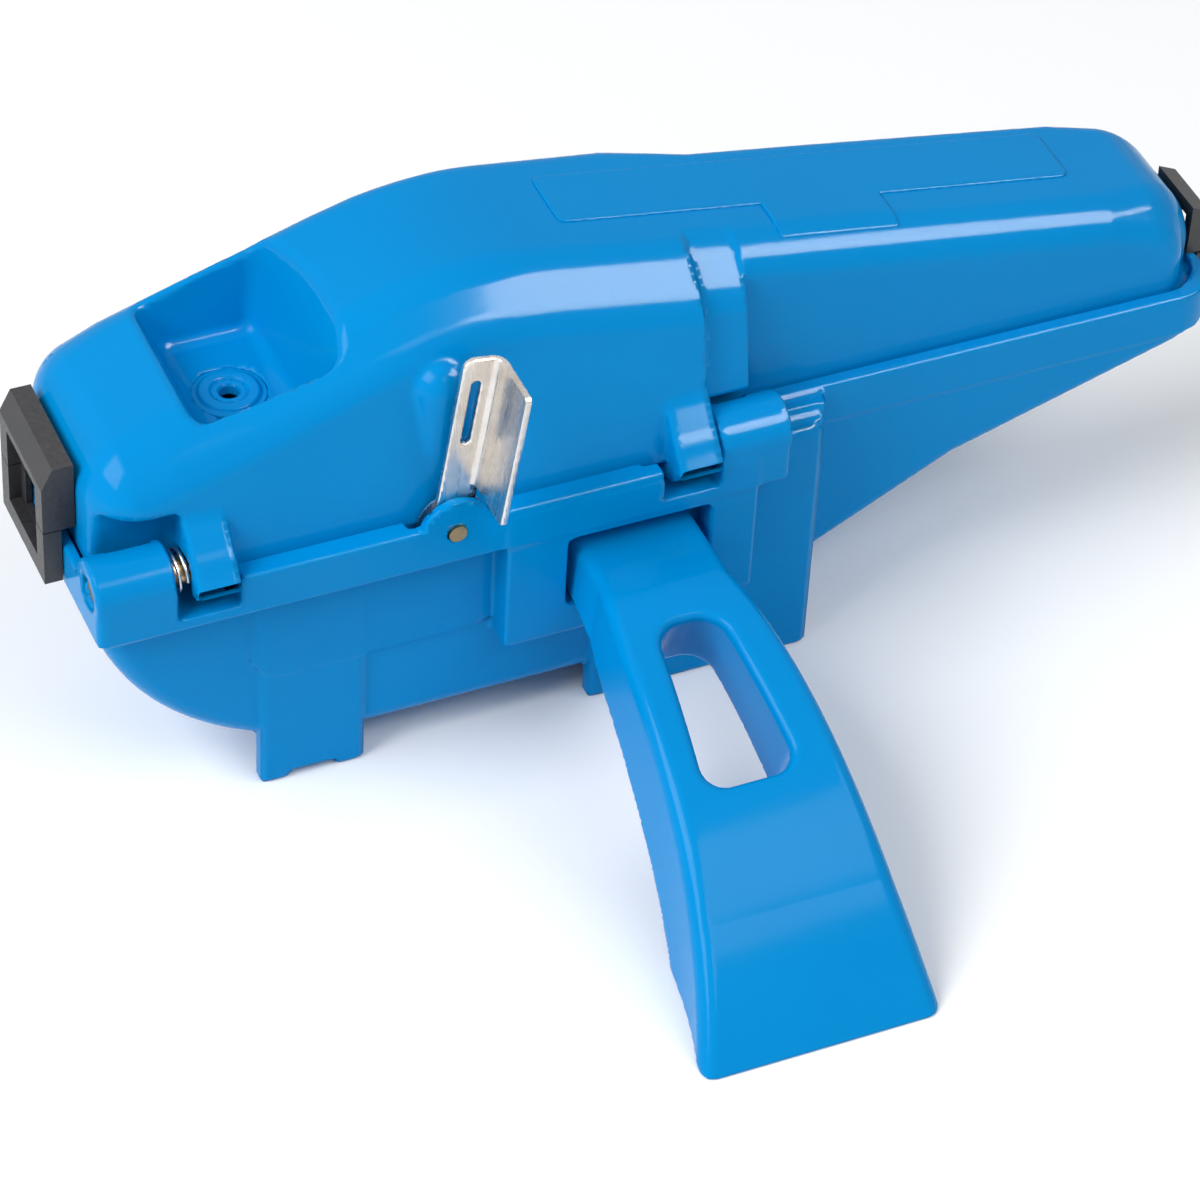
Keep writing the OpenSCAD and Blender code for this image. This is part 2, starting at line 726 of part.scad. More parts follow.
function handle_y(q) = handle_crease_y - handle_bend_r * (sin(q) - sin(handle_start_deg));
function handle_z(q) = handle_top - handle_bend_r * (cos(handle_start_deg) - cos(q));
function handle_w(share) = handle_root_w + (handle_tip_w - handle_root_w) * (0.35 + 0.65 * share) * min(1, share * 6);
function handle_depth(share) = handle_root_t + 4 + (handle_t - handle_root_t - 4) * min(1, share * 4);
function handle_ring(y, z, q, w, t) =
    let (
        e = handle_edge_r,
        b = w / 2 + handle_draft,
        outline = [[-b + e, -t], [-b, -t + e], [-w / 2, -e], [-w / 2 + e * 0.3, -e * 0.3], [-w / 2 + e, 0],
            [w / 2 - e, 0], [w / 2 - e * 0.3, -e * 0.3], [w / 2, -e], [b, -t + e], [b - e, -t]]
    )
    [for (p = outline) [socket_mid + p[0], y + p[1] * sin(-q), z + p[1] * cos(q)]];

handle_len_deg = handle_end_deg - handle_start_deg;
tip_deg = handle_tip_r / handle_bend_r * 180 / PI;
tip_shares = [0.3, 0.6, 0.8, 0.93, 1];

module handle() place() color(blue) {
    difference() {
        intersection() {
            loft([
                handle_ring(handle_tenon_y, handle_top, 0, handle_root_w, handle_root_t - gap),
                handle_ring(-flange_half, handle_top, 0, handle_root_w, handle_root_t - gap),
                handle_ring(handle_crease_y, handle_top, handle_start_deg / 2, handle_root_w, handle_root_t + 4),
                for (k = [1 : handle_steps])
                    let (share = k / handle_steps * (1 - tip_deg / handle_len_deg),
                        q = handle_start_deg + handle_len_deg * share)
                    handle_ring(handle_y(q), handle_z(q), q, handle_w(share), handle_depth(share)),
                for (s = tip_shares)
                    let (q = handle_end_deg - tip_deg * (1 - s))
                    handle_ring(handle_y(q), handle_z(q), q,
                        handle_tip_w - 2 * drawn_in(handle_tip_r * (1 - s), handle_tip_r), handle_t)
            ]);
            block([0, -4 * flange_half - parting_z, -parting_z], [flange_len, 0, 0]);
        }
        translate([socket_mid, 0, 0]) finger_hole();
        handle_screw_holes();
    }
}

module finger_hole() {
    mid_y = (finger_near[0] + finger_far[0]) / 2;
    translate([0, mid_y, finger_mid_z]) rotate([finger_tilt, 0, 0]) hull()
        for (side = [-1, 1]) {
            translate([side * (finger_near[1] - finger_near_r), finger_near[0] - mid_y, -finger_cut / 2])
                cylinder(r = finger_near_r, h = finger_cut, $fn = 32);
            translate([side * (finger_far[1] - finger_far_r), finger_far[0] - mid_y, -finger_cut / 2])
                cylinder(r = finger_far_r, h = finger_cut, $fn = 32);
        }
}

// Screws through the bath's wall into the handle's root
handle_screw_dx = 8;
handle_screw_z = handle_top - handle_root_t / 2;
handle_screw_len = 16;

module handle_screw_holes() {
    for (side = [-1, 1])
        rod_y(-bath_half + wall - handle_screw_len, 0, handle_screw_r + pin_clear,
            socket_mid + side * handle_screw_dx, handle_screw_z);
}

module handle_screws() place() color(steel)
    for (side = [-1, 1]) {
        x = socket_mid + side * handle_screw_dx;
        rod_y(-bath_half + wall - handle_screw_len + gap, -bath_half + wall, handle_screw_r, x, handle_screw_z);
        rod_y(-bath_half + wall, -bath_half + wall + screw_head_h, screw_head_r + handle_screw_r / 2, x, handle_screw_z);
    }

module latch_lever() place() color(steel)
    translate([latch_x, 0, latch_z]) rotate([0, latch_lean, 0]) difference() {
        union() {
            rod_y(latch_front, latch_back, latch_w / 2, 0, 0);
            block([-latch_w / 2, latch_front, 0], [latch_w / 2 - latch_bend_r, latch_back, latch_len]);
            block([-latch_w / 2, latch_front, 0], [latch_w / 2, latch_back, tab_foot]);
            block([latch_w / 2 - latch_t, latch_back - tab_reach - latch_t, tab_foot],
                [latch_w / 2, latch_back - latch_bend_r, latch_len]);
            translate([latch_w / 2 - latch_bend_r, latch_back - latch_bend_r, tab_foot])
                intersection() {
                    difference() {
                        cylinder(r = latch_bend_r, h = latch_len - tab_foot);
                        translate([0, 0, -over]) cylinder(r = latch_bend_r - latch_t, h = latch_len);
                    }
                    cube([latch_bend_r, latch_bend_r, latch_len]);
                }
        }
        rod_y(latch_front - over, latch_back + over, rivet_r + pin_clear, 0, 0);
        block([-latch_slot_w, latch_front - over, latch_slot_from],
            [0, latch_back + over, latch_slot_from + latch_slot_len]);
    }

module latch_washer() place() color(steel) difference() {
    rod_y(latch_back + latch_play, latch_back + latch_play + washer_t, washer_r, latch_x, latch_z);
    rod_y(latch_back - over, latch_back + 2 * over, rivet_r + pin_clear, latch_x, latch_z);
}

module latch_rivet() place() color(brass) {
    head = latch_back + washer_t + 2 * latch_play;
    rod_y(-flange_half - gap, head, rivet_r, latch_x, latch_z);
    rod_y(head, head + rivet_head_t, rivet_head_r, latch_x, latch_z);
}

module catch_pin_left() place() color(brass)
    rod_x(pin_end_recess, left_ear[1] - ear_end_wall - gap, catch_pin_r, catch_y, 0);

module catch_pin_right() place() color(brass)
    rod_x(right_ear[0] + ear_end_wall + gap, right_barrel[1] - pin_end_recess, catch_pin_r, catch_y, 0);

// Spring: one tube along a helix whose ends run straight for one diameter
spring_turns = 1.5;
spring_rings = 8;
spring_sides = 6;
spring_r = catch_pin_r + 1.4;
spring_start = left_barrel_end;
spring_len = left_ear[0] - left_barrel_end;
spring_pitch = (spring_len - 2 * spring_wire) / spring_turns;

function spring_point(k) = let (turn = k / spring_rings) [
    spring_start + spring_wire + spring_pitch * turn,
    catch_y + spring_r * cos(360 * turn), spring_r * sin(360 * turn)];
function spring_path() = let (n = spring_turns * spring_rings, first = spring_point(0), end = spring_point(n)) [
    [spring_start + gap / 10, first[1], first[2]],
    [spring_start + spring_wire / 2, first[1], first[2]],
    for (k = [1 : n - 1]) spring_point(k),
    [left_ear[0] - spring_wire / 2, end[1], end[2]],
    [left_ear[0] - gap, end[1], end[2]]];
function unit(v) = v / norm(v);

module catch_spring() place() color(steel) {
    path = spring_path();
    last = len(path) - 1;
    loft([for (i = [0 : last])
        let (
            along = i <= 1 || i >= last - 1 ? [1, 0, 0]
                : unit(path[i + 1] - path[i - 1]),
            radial = unit([0, path[i][1] - catch_y, path[i][2]]),
            side = unit(cross(along, radial)),
            lift = cross(side, along)
        )
        [for (j = [0 : spring_sides - 1]) let (a = 360 * j / spring_sides)
            path[i] + spring_wire / 2 * (cos(a) * lift + sin(a) * side)]]);
}

// Least gap between points of the path that are more than half a turn apart
function spring_gap() = let (path = spring_path(), last = len(path) - 1)
    min([for (i = [0 : last], j = [i + 1 : last])
        if (j - i > spring_rings / 2) norm(path[i] - path[j])]) - spring_wire;
echo(spring_gap = spring_gap());

module hinge_pin(x) {
    rod_x(x - gap, x + hinge_w + gap, hinge_pin_r, hinge_y, hinge_z);
}

module hinge_pin_left() place() color(brass) hinge_pin(hinge_lefts[0]);
module hinge_pin_right() place() color(brass) hinge_pin(hinge_lefts[1]);

module inlet_guide_lower() place() color(black) difference() {
    block([guide_front, -guide_half, guide_low], [-gap, guide_half, guide_split]);
    block([guide_front - over, -guide_open_half, guide_open[0]],
        [-gap - guide_web, guide_open_half, guide_split + over]);
    block([-gap - guide_web - over, -throat_half, throat[0]], [over, throat_half, guide_split + over]);
}

module inlet_guide_upper() place() color(black) difference() {
    translate([0, guide_half, 0]) rotate([90, 0, 0]) linear_extrude(2 * guide_half)
        polygon([
            [guide_front, guide_split + gap], [guide_front, guide_high - guide_chamfer],
            [guide_front + guide_chamfer / 2, guide_high], [cover_left - gap, guide_high],
            [cover_left - gap, guide_split + gap]
        ]);
    block([guide_front - over, -guide_open_half, guide_split - over],
        [-gap - guide_web, guide_open_half, guide_open[1]]);
    block([-gap - guide_web - over, -throat_half, guide_split - over],
        [cover_left + over, throat_half, throat[1]]);
}

module outlet_guide_lower() place() color(black) difference() {
    block([flange_len + gap, -outlet_half, outlet_low], [flange_len + outlet_out, outlet_half, outlet_open[0] + 2]);
    block([flange_len, -outlet_open_half, outlet_open[0]], [flange_len + outlet_out + over, outlet_open_half, over]);
}

module outlet_guide_upper() place() color(black) difference() {
    translate([0, outlet_half, 0]) rotate([90, 0, 0]) linear_extrude(2 * outlet_half)
        polygon([
            [cover_right + gap, gap], [cover_right + gap, outlet_high],
            [flange_len + outlet_out / 2, outlet_high - 2], [flange_len + outlet_out, outlet_high - 5],
            [flange_len + outlet_out, gap]
        ]);
    block([cover_right, -outlet_open_half, -over], [flange_len + outlet_out + over, outlet_open_half, outlet_open[1]]);
}

module wiper_pad_lower() place() color(foam)
    block([pad_x[0], -pad_half, pad_low[0] + gap], [pad_x[1], pad_half, pad_low[1]]);

module wiper_pad_upper() place() color(foam)
    block([pad_x[0], -pad_half, pad_high[0]], [pad_x[1], pad_half, pad_high[1]]);

module brush_plates(frame, low, high, brushes) {
    difference() {
        both_sides() block([frame[0], plate_in, low], [frame[1], plate_out, high]);
        for (i = brushes) rod_y(-flange_half, flange_half, axle_r + pin_clear, brush_x[i], brush_z[i]);
    }
}

module lower_brush_frame() place() color(white) difference() {
    union() {
        brush_plates(lower_frame, lower_plate_low, lower_plate_high, [0, 1]);
        for (x = [lower_frame[0], lower_frame[1] - lower_bar])
            block([x, -plate_out, lower_plate_low], [x + lower_bar, plate_out, lower_plate_low + lower_bar]);
    }
    lower_posts() translate([0, 0, lower_plate_low - over])
        cylinder(r = frame_screw_r + pin_clear, h = lower_bar + 2 * over);
}

module upper_brush_frame() place() color(white) difference() {
    union() {
        brush_plates(upper_frame, upper_plate_low, upper_plate_high, [2, 3]);
        for (x = [upper_frame[0], upper_frame[1] - upper_bar])
            block([x, -plate_out, upper_plate_high - lower_bar], [x + upper_bar, plate_out, upper_plate_high]);
    }
    upper_posts() translate([0, 0, -lower_bar - over])
        cylinder(r = frame_screw_r + pin_clear, h = lower_bar + 2 * over);
}

module frame_screw() {
    translate([0, 0, -screw_len + gap]) cylinder(r = frame_screw_r - pin_clear, h = screw_len + lower_bar - gap);
    translate([0, 0, lower_bar]) cylinder(r = screw_head_r, h = screw_head_h);
}

module frame_screws_lower() place() color(steel)
    lower_posts() translate([0, 0, lower_plate_low]) frame_screw();

module frame_screws_upper() place() color(steel)
    upper_posts() rotate([180, 0, 0]) upper_screw();

module upper_screw() {
    translate([0, 0, -screw_len + over + gap]) cylinder(r = frame_screw_r - pin_clear, h = screw_len - over + lower_bar - gap);
    translate([0, 0, lower_bar]) cylinder(r = screw_head_r, h = screw_head_h);
}

module magnet() place() color(steel) magnet_seat() cylinder(r = magnet_r, h = magnet_t);

clip_lip = 1.5;

module magnet_clip() place() color(black) magnet_seat() difference() {
    cylinder(r = magnet_r + wall, h = magnet_t + 1);
    translate([0, 0, -over]) cylinder(r = magnet_r + core_bore_clear, h = magnet_t + over);
    cylinder(r = magnet_r - clip_lip, h = magnet_t + 2 * over);
}

module brush_core(i) place() color(white) difference() {
    rod_y(-brush_len / 2, brush_len / 2, core_r, brush_x[i], brush_z[i]);
    rod_y(-brush_len, brush_len, bearing_r - 1, brush_x[i], brush_z[i]);
    for (y = [-brush_len / 2 - over, brush_len / 2 - bearing_len])
        rod_y(y, y + bearing_len + over, bearing_r + core_bore_clear, brush_x[i], brush_z[i]);
}

module brush_bristles(i) place() color(bristle) difference() {
    rod_y(-brush_len / 2, brush_len / 2, brush_r[i], brush_x[i], brush_z[i]);
    rod_y(-brush_len, brush_len, core_r + core_bore_clear, brush_x[i], brush_z[i]);
}

module brush_bearings(i) place() color(brass) difference() {
    for (y = [-brush_len / 2, brush_len / 2 - bearing_len])
        rod_y(y, y + bearing_len, bearing_r, brush_x[i], brush_z[i]);
    rod_y(-brush_len, brush_len, axle_r + pin_clear, brush_x[i], brush_z[i]);
}

module brush_axle(i) place() color(steel) {
    rod_y(-plate_out - gap, plate_out + gap, axle_r, brush_x[i], brush_z[i]);
    rod_y(-plate_out - gap - axle_head_t, -plate_out - gap, axle_head_r, brush_x[i], brush_z[i]);
}

reservoir();
cover();
handle();
handle_screws();
latch_lever();
latch_rivet();
latch_washer();
catch_pin_left();
catch_pin_right();
catch_spring();
hinge_pin_left();
hinge_pin_right();
inlet_guide_lower();
inlet_guide_upper();
outlet_guide_lower();
outlet_guide_upper();
wiper_pad_lower();
wiper_pad_upper();
lower_brush_frame();
upper_brush_frame();
frame_screws_lower();
frame_screws_upper();
magnet();
magnet_clip();
brush_core(0);  // brush_core_1
brush_core(1);  // brush_core_2
brush_core(2);  // brush_core_3
brush_core(3);  // brush_core_4
brush_bristles(0);  // brush_bristles_1
brush_bristles(1);  // brush_bristles_2
brush_bristles(2);  // brush_bristles_3
brush_bristles(3);  // brush_bristles_4
brush_axle(0);  // brush_axle_1
brush_axle(1);  // brush_axle_2
brush_axle(2);  // brush_axle_3
brush_axle(3);  // brush_axle_4
brush_bearings(0);  // brush_bearings_1
brush_bearings(1);  // brush_bearings_2
brush_bearings(2);  // brush_bearings_3
brush_bearings(3);  // brush_bearings_4
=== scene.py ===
"""Looks for the bike chain cleaner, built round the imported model."""

import json
import math
import random

import bpy
import numpy as np
from mathutils import Matrix, Vector


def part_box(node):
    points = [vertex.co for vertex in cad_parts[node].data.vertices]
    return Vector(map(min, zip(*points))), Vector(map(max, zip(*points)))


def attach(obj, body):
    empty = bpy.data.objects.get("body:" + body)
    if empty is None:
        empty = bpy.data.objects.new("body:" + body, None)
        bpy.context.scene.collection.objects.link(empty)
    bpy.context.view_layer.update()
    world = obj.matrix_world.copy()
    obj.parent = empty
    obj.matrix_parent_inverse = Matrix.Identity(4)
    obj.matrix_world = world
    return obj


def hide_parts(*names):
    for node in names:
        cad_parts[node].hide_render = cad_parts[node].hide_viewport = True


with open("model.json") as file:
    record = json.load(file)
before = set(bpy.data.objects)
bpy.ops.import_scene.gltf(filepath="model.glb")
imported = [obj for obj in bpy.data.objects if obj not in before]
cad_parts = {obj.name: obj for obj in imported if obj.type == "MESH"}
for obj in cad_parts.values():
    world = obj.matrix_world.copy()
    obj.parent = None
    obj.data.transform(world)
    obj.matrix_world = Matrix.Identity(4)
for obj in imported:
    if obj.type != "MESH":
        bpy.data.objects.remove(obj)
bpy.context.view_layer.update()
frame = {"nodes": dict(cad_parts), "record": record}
NODES = frame["nodes"]
MM = 0.001

# Fit frame: x from the inlet end, y from the chain's plane, z from the parting plane, in millimetres
FLANGE_LEN = 263.0
PARTING_Z = 67.0
SHIFT = np.array([-FLANGE_LEN / 2, 0.0, PARTING_Z])


def at(x, y, z):
    """A place in the fit frame as a point of the row frame, in metres."""
    return Vector(((x + SHIFT[0]) * MM, (y + SHIFT[1]) * MM, (z + SHIFT[2]) * MM))


# Camera, in metres
LENS, SENSOR = 150.0, 36.0
NEAREST, FARTHEST = 0.1, 20.0
CAMERA_PLACE = (-0.35457, -0.73630, 0.74704)
CAMERA_RIGHT = (0.9186, -0.3926, 0.0436)
CAMERA_UP = (0.2362, 0.6343, 0.7359)
CAMERA_BACK = (-0.3166, -0.6658, 0.6755)


def make_camera():
    data = bpy.data.cameras.new("camera")
    data.lens = LENS
    data.sensor_width = SENSOR
    data.clip_start, data.clip_end = NEAREST, FARTHEST
    cam = bpy.data.objects.new("camera", data)
    bpy.context.scene.collection.objects.link(cam)
    turn = Matrix((CAMERA_RIGHT, CAMERA_UP, CAMERA_BACK)).transposed().to_4x4()
    cam.matrix_world = Matrix.Translation(CAMERA_PLACE) @ turn
    bpy.context.scene.camera = cam


make_camera()


# Signed distances in millimetres, negative inside. Rounded joins take the radius of their fillet.
def inside_both(a, b, r):
    return np.minimum(-r, np.maximum(a, b)) + np.hypot(np.maximum(a + r, 0), np.maximum(b + r, 0))


def either(a, b, r):
    return -inside_both(-a, -b, r)


def without(a, b, r):
    return inside_both(a, -b, r)


def between(v, start, end):
    """Negative from start to end, with sharp ends."""
    return np.maximum(start - v, v - end)


def block(x, y, z, low, high, r):
    """A box whose edges are rounded by r."""
    q = [np.abs(v - (a + b) / 2) - (b - a) / 2 + r for v, a, b in zip((x, y, z), low, high)]
    outside = np.sqrt(sum(np.maximum(v, 0) ** 2 for v in q))
    return outside + np.minimum(np.maximum(np.maximum(q[0], q[1]), q[2]), 0) - r


def plate(x, y, middle, half, r):
    """An upright block without ends, whose corners are rounded by r."""
    return inside_both(np.abs(x - middle[0]) - half[0], np.abs(y - middle[1]) - half[1], r)


def rod(across, other, along, start, end, radius, r):
    """A cylinder whose rim is rounded by r."""
    return inside_both(np.hypot(across, other) - radius, between(along, start, end), r)


def ramp(x, places, values):
    return np.interp(x, places, values)


# Skins of the fields
CORNERS = [np.array([i, j, k]) for i in (0, 1) for j in (0, 1) for k in (0, 1)]
CELL_EDGES = [(a, b) for a in CORNERS for b in CORNERS if (b - a).min() >= 0 and (b - a).sum() == 1]
PROBE = 0.05
CHUNK = 24
SETTLE_ROUNDS = 4
LONGEST_MOVE = 0.4
LEAST_SLOPE = 0.05
TINY = 1e-9


def gradient(field, p):
    g = np.empty_like(p)
    for i in range(3):
        step = np.zeros(3)
        step[i] = PROBE
        g[:, i] = (field(*(p + step).T) - field(*(p - step).T)) / (2 * PROBE)
    return g


def crossing_points(values, low, step):
    """One point in each cell that the surface crosses, and the number of each cell's point."""
    solid = values < 0
    nx, ny, nz = [n - 1 for n in solid.shape]
    count = sum(solid[i:nx + i, j:ny + j, k:nz + k].astype(np.int8) for i, j, k in CORNERS)
    crossed = (count > 0) & (count < len(CORNERS))
    index = np.full(crossed.shape, -1, np.int64)
    cells = np.argwhere(crossed)
    index[crossed] = np.arange(len(cells))
    total, hits = np.zeros((len(cells), 3)), np.zeros(len(cells))
    for a, b in CELL_EDGES:
        va, vb = values[tuple((cells + a).T)], values[tuple((cells + b).T)]
        cut = (va < 0) != (vb < 0)
        share = np.where(cut, va / np.where(cut, va - vb, 1), 0)
        total += np.where(cut[:, None], cells + a + share[:, None] * (b - a), 0)
        hits += cut
    return np.array(low) + total / hits[:, None] * step, index


def crossing_quads(values, index):
    """A quad round each grid edge that the surface crosses, wound to face outwards."""
    solid = values < 0
    quads = []
    for axis in range(3):
        first, second = [slice(None)] * 3, [slice(None)] * 3
        first[axis], second[axis] = slice(0, -1), slice(1, None)
        lower = solid[tuple(first)]
        edges = np.argwhere(lower != solid[tuple(second)])
        u, v = (axis + 1) % 3, (axis + 2) % 3
        within_u = (edges[:, u] > 0) & (edges[:, u] < index.shape[u])
        within_v = (edges[:, v] > 0) & (edges[:, v] < index.shape[v])
        edges = edges[within_u & within_v]
        corners = []
        for du, dv in ((-1, -1), (0, -1), (0, 0), (-1, 0)):
            cell = edges.copy()
            cell[:, u] += du
            cell[:, v] += dv
            corners.append(index[tuple(cell.T)])
        quad = np.stack(corners, 1)
        inward = ~lower[tuple(edges.T)]
        quad[inward] = quad[inward][:, ::-1]
        quads.append(quad)
    return np.concatenate(quads)


def skin(field, low, high, step):
    """Points, quads and normals of a field's surface, with the points moved onto it."""
    axes = [np.arange(a, b + step, step) for a, b in zip(low, high)]
    values = np.empty([len(a) for a in axes], np.float32)
    for i in range(0, len(axes[0]), CHUNK):
        grid = np.meshgrid(axes[0][i:i + CHUNK], axes[1], axes[2], indexing="ij")
        values[i:i + CHUNK] = field(*grid)
    points, index = crossing_points(values, low, step)
    for _ in range(SETTLE_ROUNDS):
        g = gradient(field, points)
        size = np.maximum((g * g).sum(1), LEAST_SLOPE)
        move = -(field(*points.T) / size)[:, None] * g
        length = np.linalg.norm(move, axis=1)
        points += move * np.minimum(1, LONGEST_MOVE * step / np.maximum(length, TINY))[:, None]
    g = gradient(field, points)
    normals = g / np.maximum(np.linalg.norm(g, axis=1), TINY)[:, None]
    return points, crossing_quads(values, index), normals


def add_piece(mesh, name, body, stands_for, slot):
    piece = bpy.data.objects.new(name, mesh)
    bpy.context.scene.collection.objects.link(piece)
    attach(piece, body)
    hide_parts(stands_for)


def moulded(name, field, span, step, material, body, stands_for, slot):
    """A piece whose surface is the field's, searched for within span."""
    points, quads, normals = skin(field, *span, step)
    mesh = bpy.data.meshes.new(name)
    mesh.vertices.add(len(points))
    mesh.vertices.foreach_set("co", ((points + SHIFT) * MM).astype(np.float32).ravel())
    mesh.loops.add(quads.size)
    mesh.loops.foreach_set("vertex_index", quads.ravel().astype(np.int32))
    mesh.polygons.add(len(quads))
    mesh.polygons.foreach_set("loop_start", np.arange(0, quads.size, 4, dtype=np.int32))
    mesh.update(calc_edges=True)
    mesh.polygons.foreach_set("use_smooth", np.ones(len(quads), bool))
    mesh.normals_split_custom_set_from_vertices(normals.astype(np.float32))
    mesh.materials.append(material)
    add_piece(mesh, name, body, stands_for, slot)


# Cover
WALL = 2.5
COVER_LEFT, COVER_RIGHT = 3.0, FLANGE_LEN - 2.8
COVER_FOOT = 2.0
COVER_HALF, STRIP_HALF, NOSE_HALF = 29.5, 26.5, 17.3
REAR_PLACES = (70, 95, 131, 150, 175, 225, 250)
REAR_HALVES = (28.2, 29.5, 29.5, 20.4, 20.2, 19.4, 18.8)
BULGE_END, STRIP_END, STEP_RUN = 136.4, 147.4, 1.6
LEAN, REAR_LEAN, NOSE_LEAN = math.radians(10.8), math.radians(8.0), math.radians(0.8)
LEAN_PLACES = REAR_PLACES[2:4]
RIDGE_X, RIDGE_H, RIDGE_BLEND = 83.2, 48.8, 20.0
RISE, FALL = math.tan(math.radians(18)), math.tan(math.radians(9.3))
ROOF_SCALE = 0.97
LEFT_END_R, RIGHT_END_R = 9.0, 13.5
REAR_SHOULDER_PLACES, REAR_SHOULDERS = (3, 20, 75, 130, 150), (14.0, 8.5, 4.0, 4.0, 2.8)
FRONT_SHOULDER, NOSE_SHOULDER = 12.0, 7.5
TIP_PLACES, TIP_EXTRA = (236, 256), (0, 5)
# The bevel along the front shoulder: how far it leans on the roof and on the side, and how deep it cuts
BEVEL_ROOF, BEVEL_SIDE = (0.645, 0.645, 0.766), (0.655, 0.655, 0.643)
BEVEL_DEPTH, BEVEL_R = 0.47, 2.5
BEVEL_START = (20, 38)

CATCH_Y = -27.9
BARREL_R = 7.0
LEFT_EAR, RIGHT_EAR = (20.7, 30.0), (126.4, 136.4)
EAR_R, EAR_ROUND = 7.2, 0.8
EAR_WEB_DEG, EAR_WEB_TOP, EAR_WEB_REAR = math.radians(48), 12.0, -20.0
EAR_BACK, EAR_BACK_LOW = (3.6, 12), -12
PIN_ROOM_R, MOUTH_FLARE, MOUTH_SCALE = 3.3, 0.2, 0.98

HINGE_Y, HINGE_Z = 37.5, 1.0
HINGE_LEFTS = (26.0, 106.0)
HINGE_R, HINGE_BORE_R, HINGE_ROUND = 5.5, 2.05, 0.5
KNUCKLE = (8, 16)
ARM_FOOT, ARM_TOP = 0.4, 6.5
HINGE_LEN = 24

POST_X, POST_R, POST_TOP, POST_LOW = 77.8, 6.6, 27.5, 5
POST_Y = -28.5 + POST_R
FILLER_X, FILLER_R = 40.6, 7.6
FILLER_FLOOR = 18
INNER_POST_PLACES, INNER_POST_Y, INNER_POST_R, INNER_POST_LOW = (65.0, 130.0), 6.0, 3.5, 30

RECESS_FLOOR, RECESS_LEFT, RECESS_RIGHT, RECESS_HALF = 18.5, 31.5, 52, 17.4
LEFT_FLARE, RIGHT_FLARE, FRONT_FLARE, REAR_FLARE = 0.46, 0.34, 0.06, 0.22
LEFT_SCALE, RIGHT_SCALE, REAR_SCALE = 1.1, 1.06, 1.02
RECESS_DRAW, RECESS_DRAW_Y = 0.2, 21.0
RECESS_CORNER, RECESS_FLOOR_R, RECESS_RIM = 3.0, 2.5, 1.6

PLUG_R, PLUG_Z, PLUG_HALF, PLUG_ROUND = 7.9, 17.25, 1.25, 0.15
RING_R, RING_HALF, RING_Z, RING_RISE, RING_ROUND = 5.2, 1.3, 18.6, 0.7, 0.6
COLLAR_R, COLLAR_HALF, COLLAR_Z, COLLAR_RISE, COLLAR_ROUND = 3.0, 0.7, 18.5, 0.35, 0.3
PLUG_HOLE_R = 2.1

RAISED_MID, RAISED_HALF, RAISED_ROUND = (172, 6.5), (60, 8), 2.0
TAB_MID, TAB_HALF, TAB_ROUND = (172, -5.5), (14, 6.5), 1.0
RAISED_BY, RAISED_RIM, RAISED_LOW = 0.5, 0.3, 15

POCKET_REAR = CATCH_Y + BARREL_R + 0.5
LEFT_POCKET = (-9, -50, -12), (LEFT_EAR[0], POCKET_REAR, 13.4)
RIGHT_POCKET = (RIGHT_EAR[1] + 0.2, -50, -12), (154.1, POCKET_REAR, 7.8)
EAR_ROOM_FRONT, EAR_ROOM_REAR, EAR_ROOM_LOW, EAR_ROOM_TOP = -36, -20.4, -4, 12
EAR_WALL = 2.0
COVER_INLET = (-4, -6, -20), (8, 6, 11)
COVER_OUTLET = (252.7, -5.5, -20), (275, 5.5, 9.5)
THROAT_R = 0.5


def roof_line(x):
    rising = RIDGE_H - RISE * (RIDGE_X - x)
    falling = RIDGE_H - FALL * (x - RIDGE_X)
    t = x - RIDGE_X + RIDGE_BLEND
    blend = RIDGE_H - RISE * RIDGE_BLEND + RISE * t - (RISE + FALL) * t * t / (4 * RIDGE_BLEND)
    return np.where(t < 0, rising, np.where(t > 2 * RIDGE_BLEND, falling, blend))


def step_at(x, place, run, before, after):
    t = np.clip((x - place + run / 2) / run, 0, 1)
    return before + (after - before) * t * t * (3 - 2 * t)


def by_part(x, bulge, strip, nose):
    bulge_step = step_at(x, BULGE_END, STEP_RUN, bulge, strip)
    return bulge_step + step_at(x, STRIP_END, STEP_RUN, 0, nose - strip)


def cover_half(x, y):
    """Half width at the foot: stepped in front, one easy line at the rear."""
    rear = ramp(x, REAR_PLACES, REAR_HALVES)
    return np.where(y > 0, rear, by_part(x, COVER_HALF, STRIP_HALF, NOSE_HALF))


def cover_body(x, y, z):
    rear_lean = ramp(x, LEAN_PLACES, [REAR_LEAN, NOSE_LEAN])
    lean = np.where(y > 0, rear_lean, by_part(x, LEAN, LEAN, NOSE_LEAN))
    rear_r = ramp(x, REAR_SHOULDER_PLACES, REAR_SHOULDERS)
    front_r = by_part(x, FRONT_SHOULDER, FRONT_SHOULDER, NOSE_SHOULDER)
    shoulder = np.where(y > 0, rear_r, front_r) + ramp(x, TIP_PLACES, TIP_EXTRA)
    side = (np.abs(y) - cover_half(x, y)) * np.cos(lean) + z * np.sin(lean)
    roof = (z - roof_line(x)) * ROOF_SCALE
    roof = inside_both(roof, COVER_LEFT - x, LEFT_END_R)
    roof = inside_both(roof, x - COVER_RIGHT, RIGHT_END_R)
    bevel = roof * by_part(x, *BEVEL_ROOF) + side * by_part(x, *BEVEL_SIDE) + shoulder * BEVEL_DEPTH
    faceted = inside_both(inside_both(roof, bevel, BEVEL_R), side, BEVEL_R)
    share = np.where(y > 0, 0, ramp(x, BEVEL_START, [0, 1]))
    return inside_both(roof, side, shoulder) * (1 - share) + faceted * share


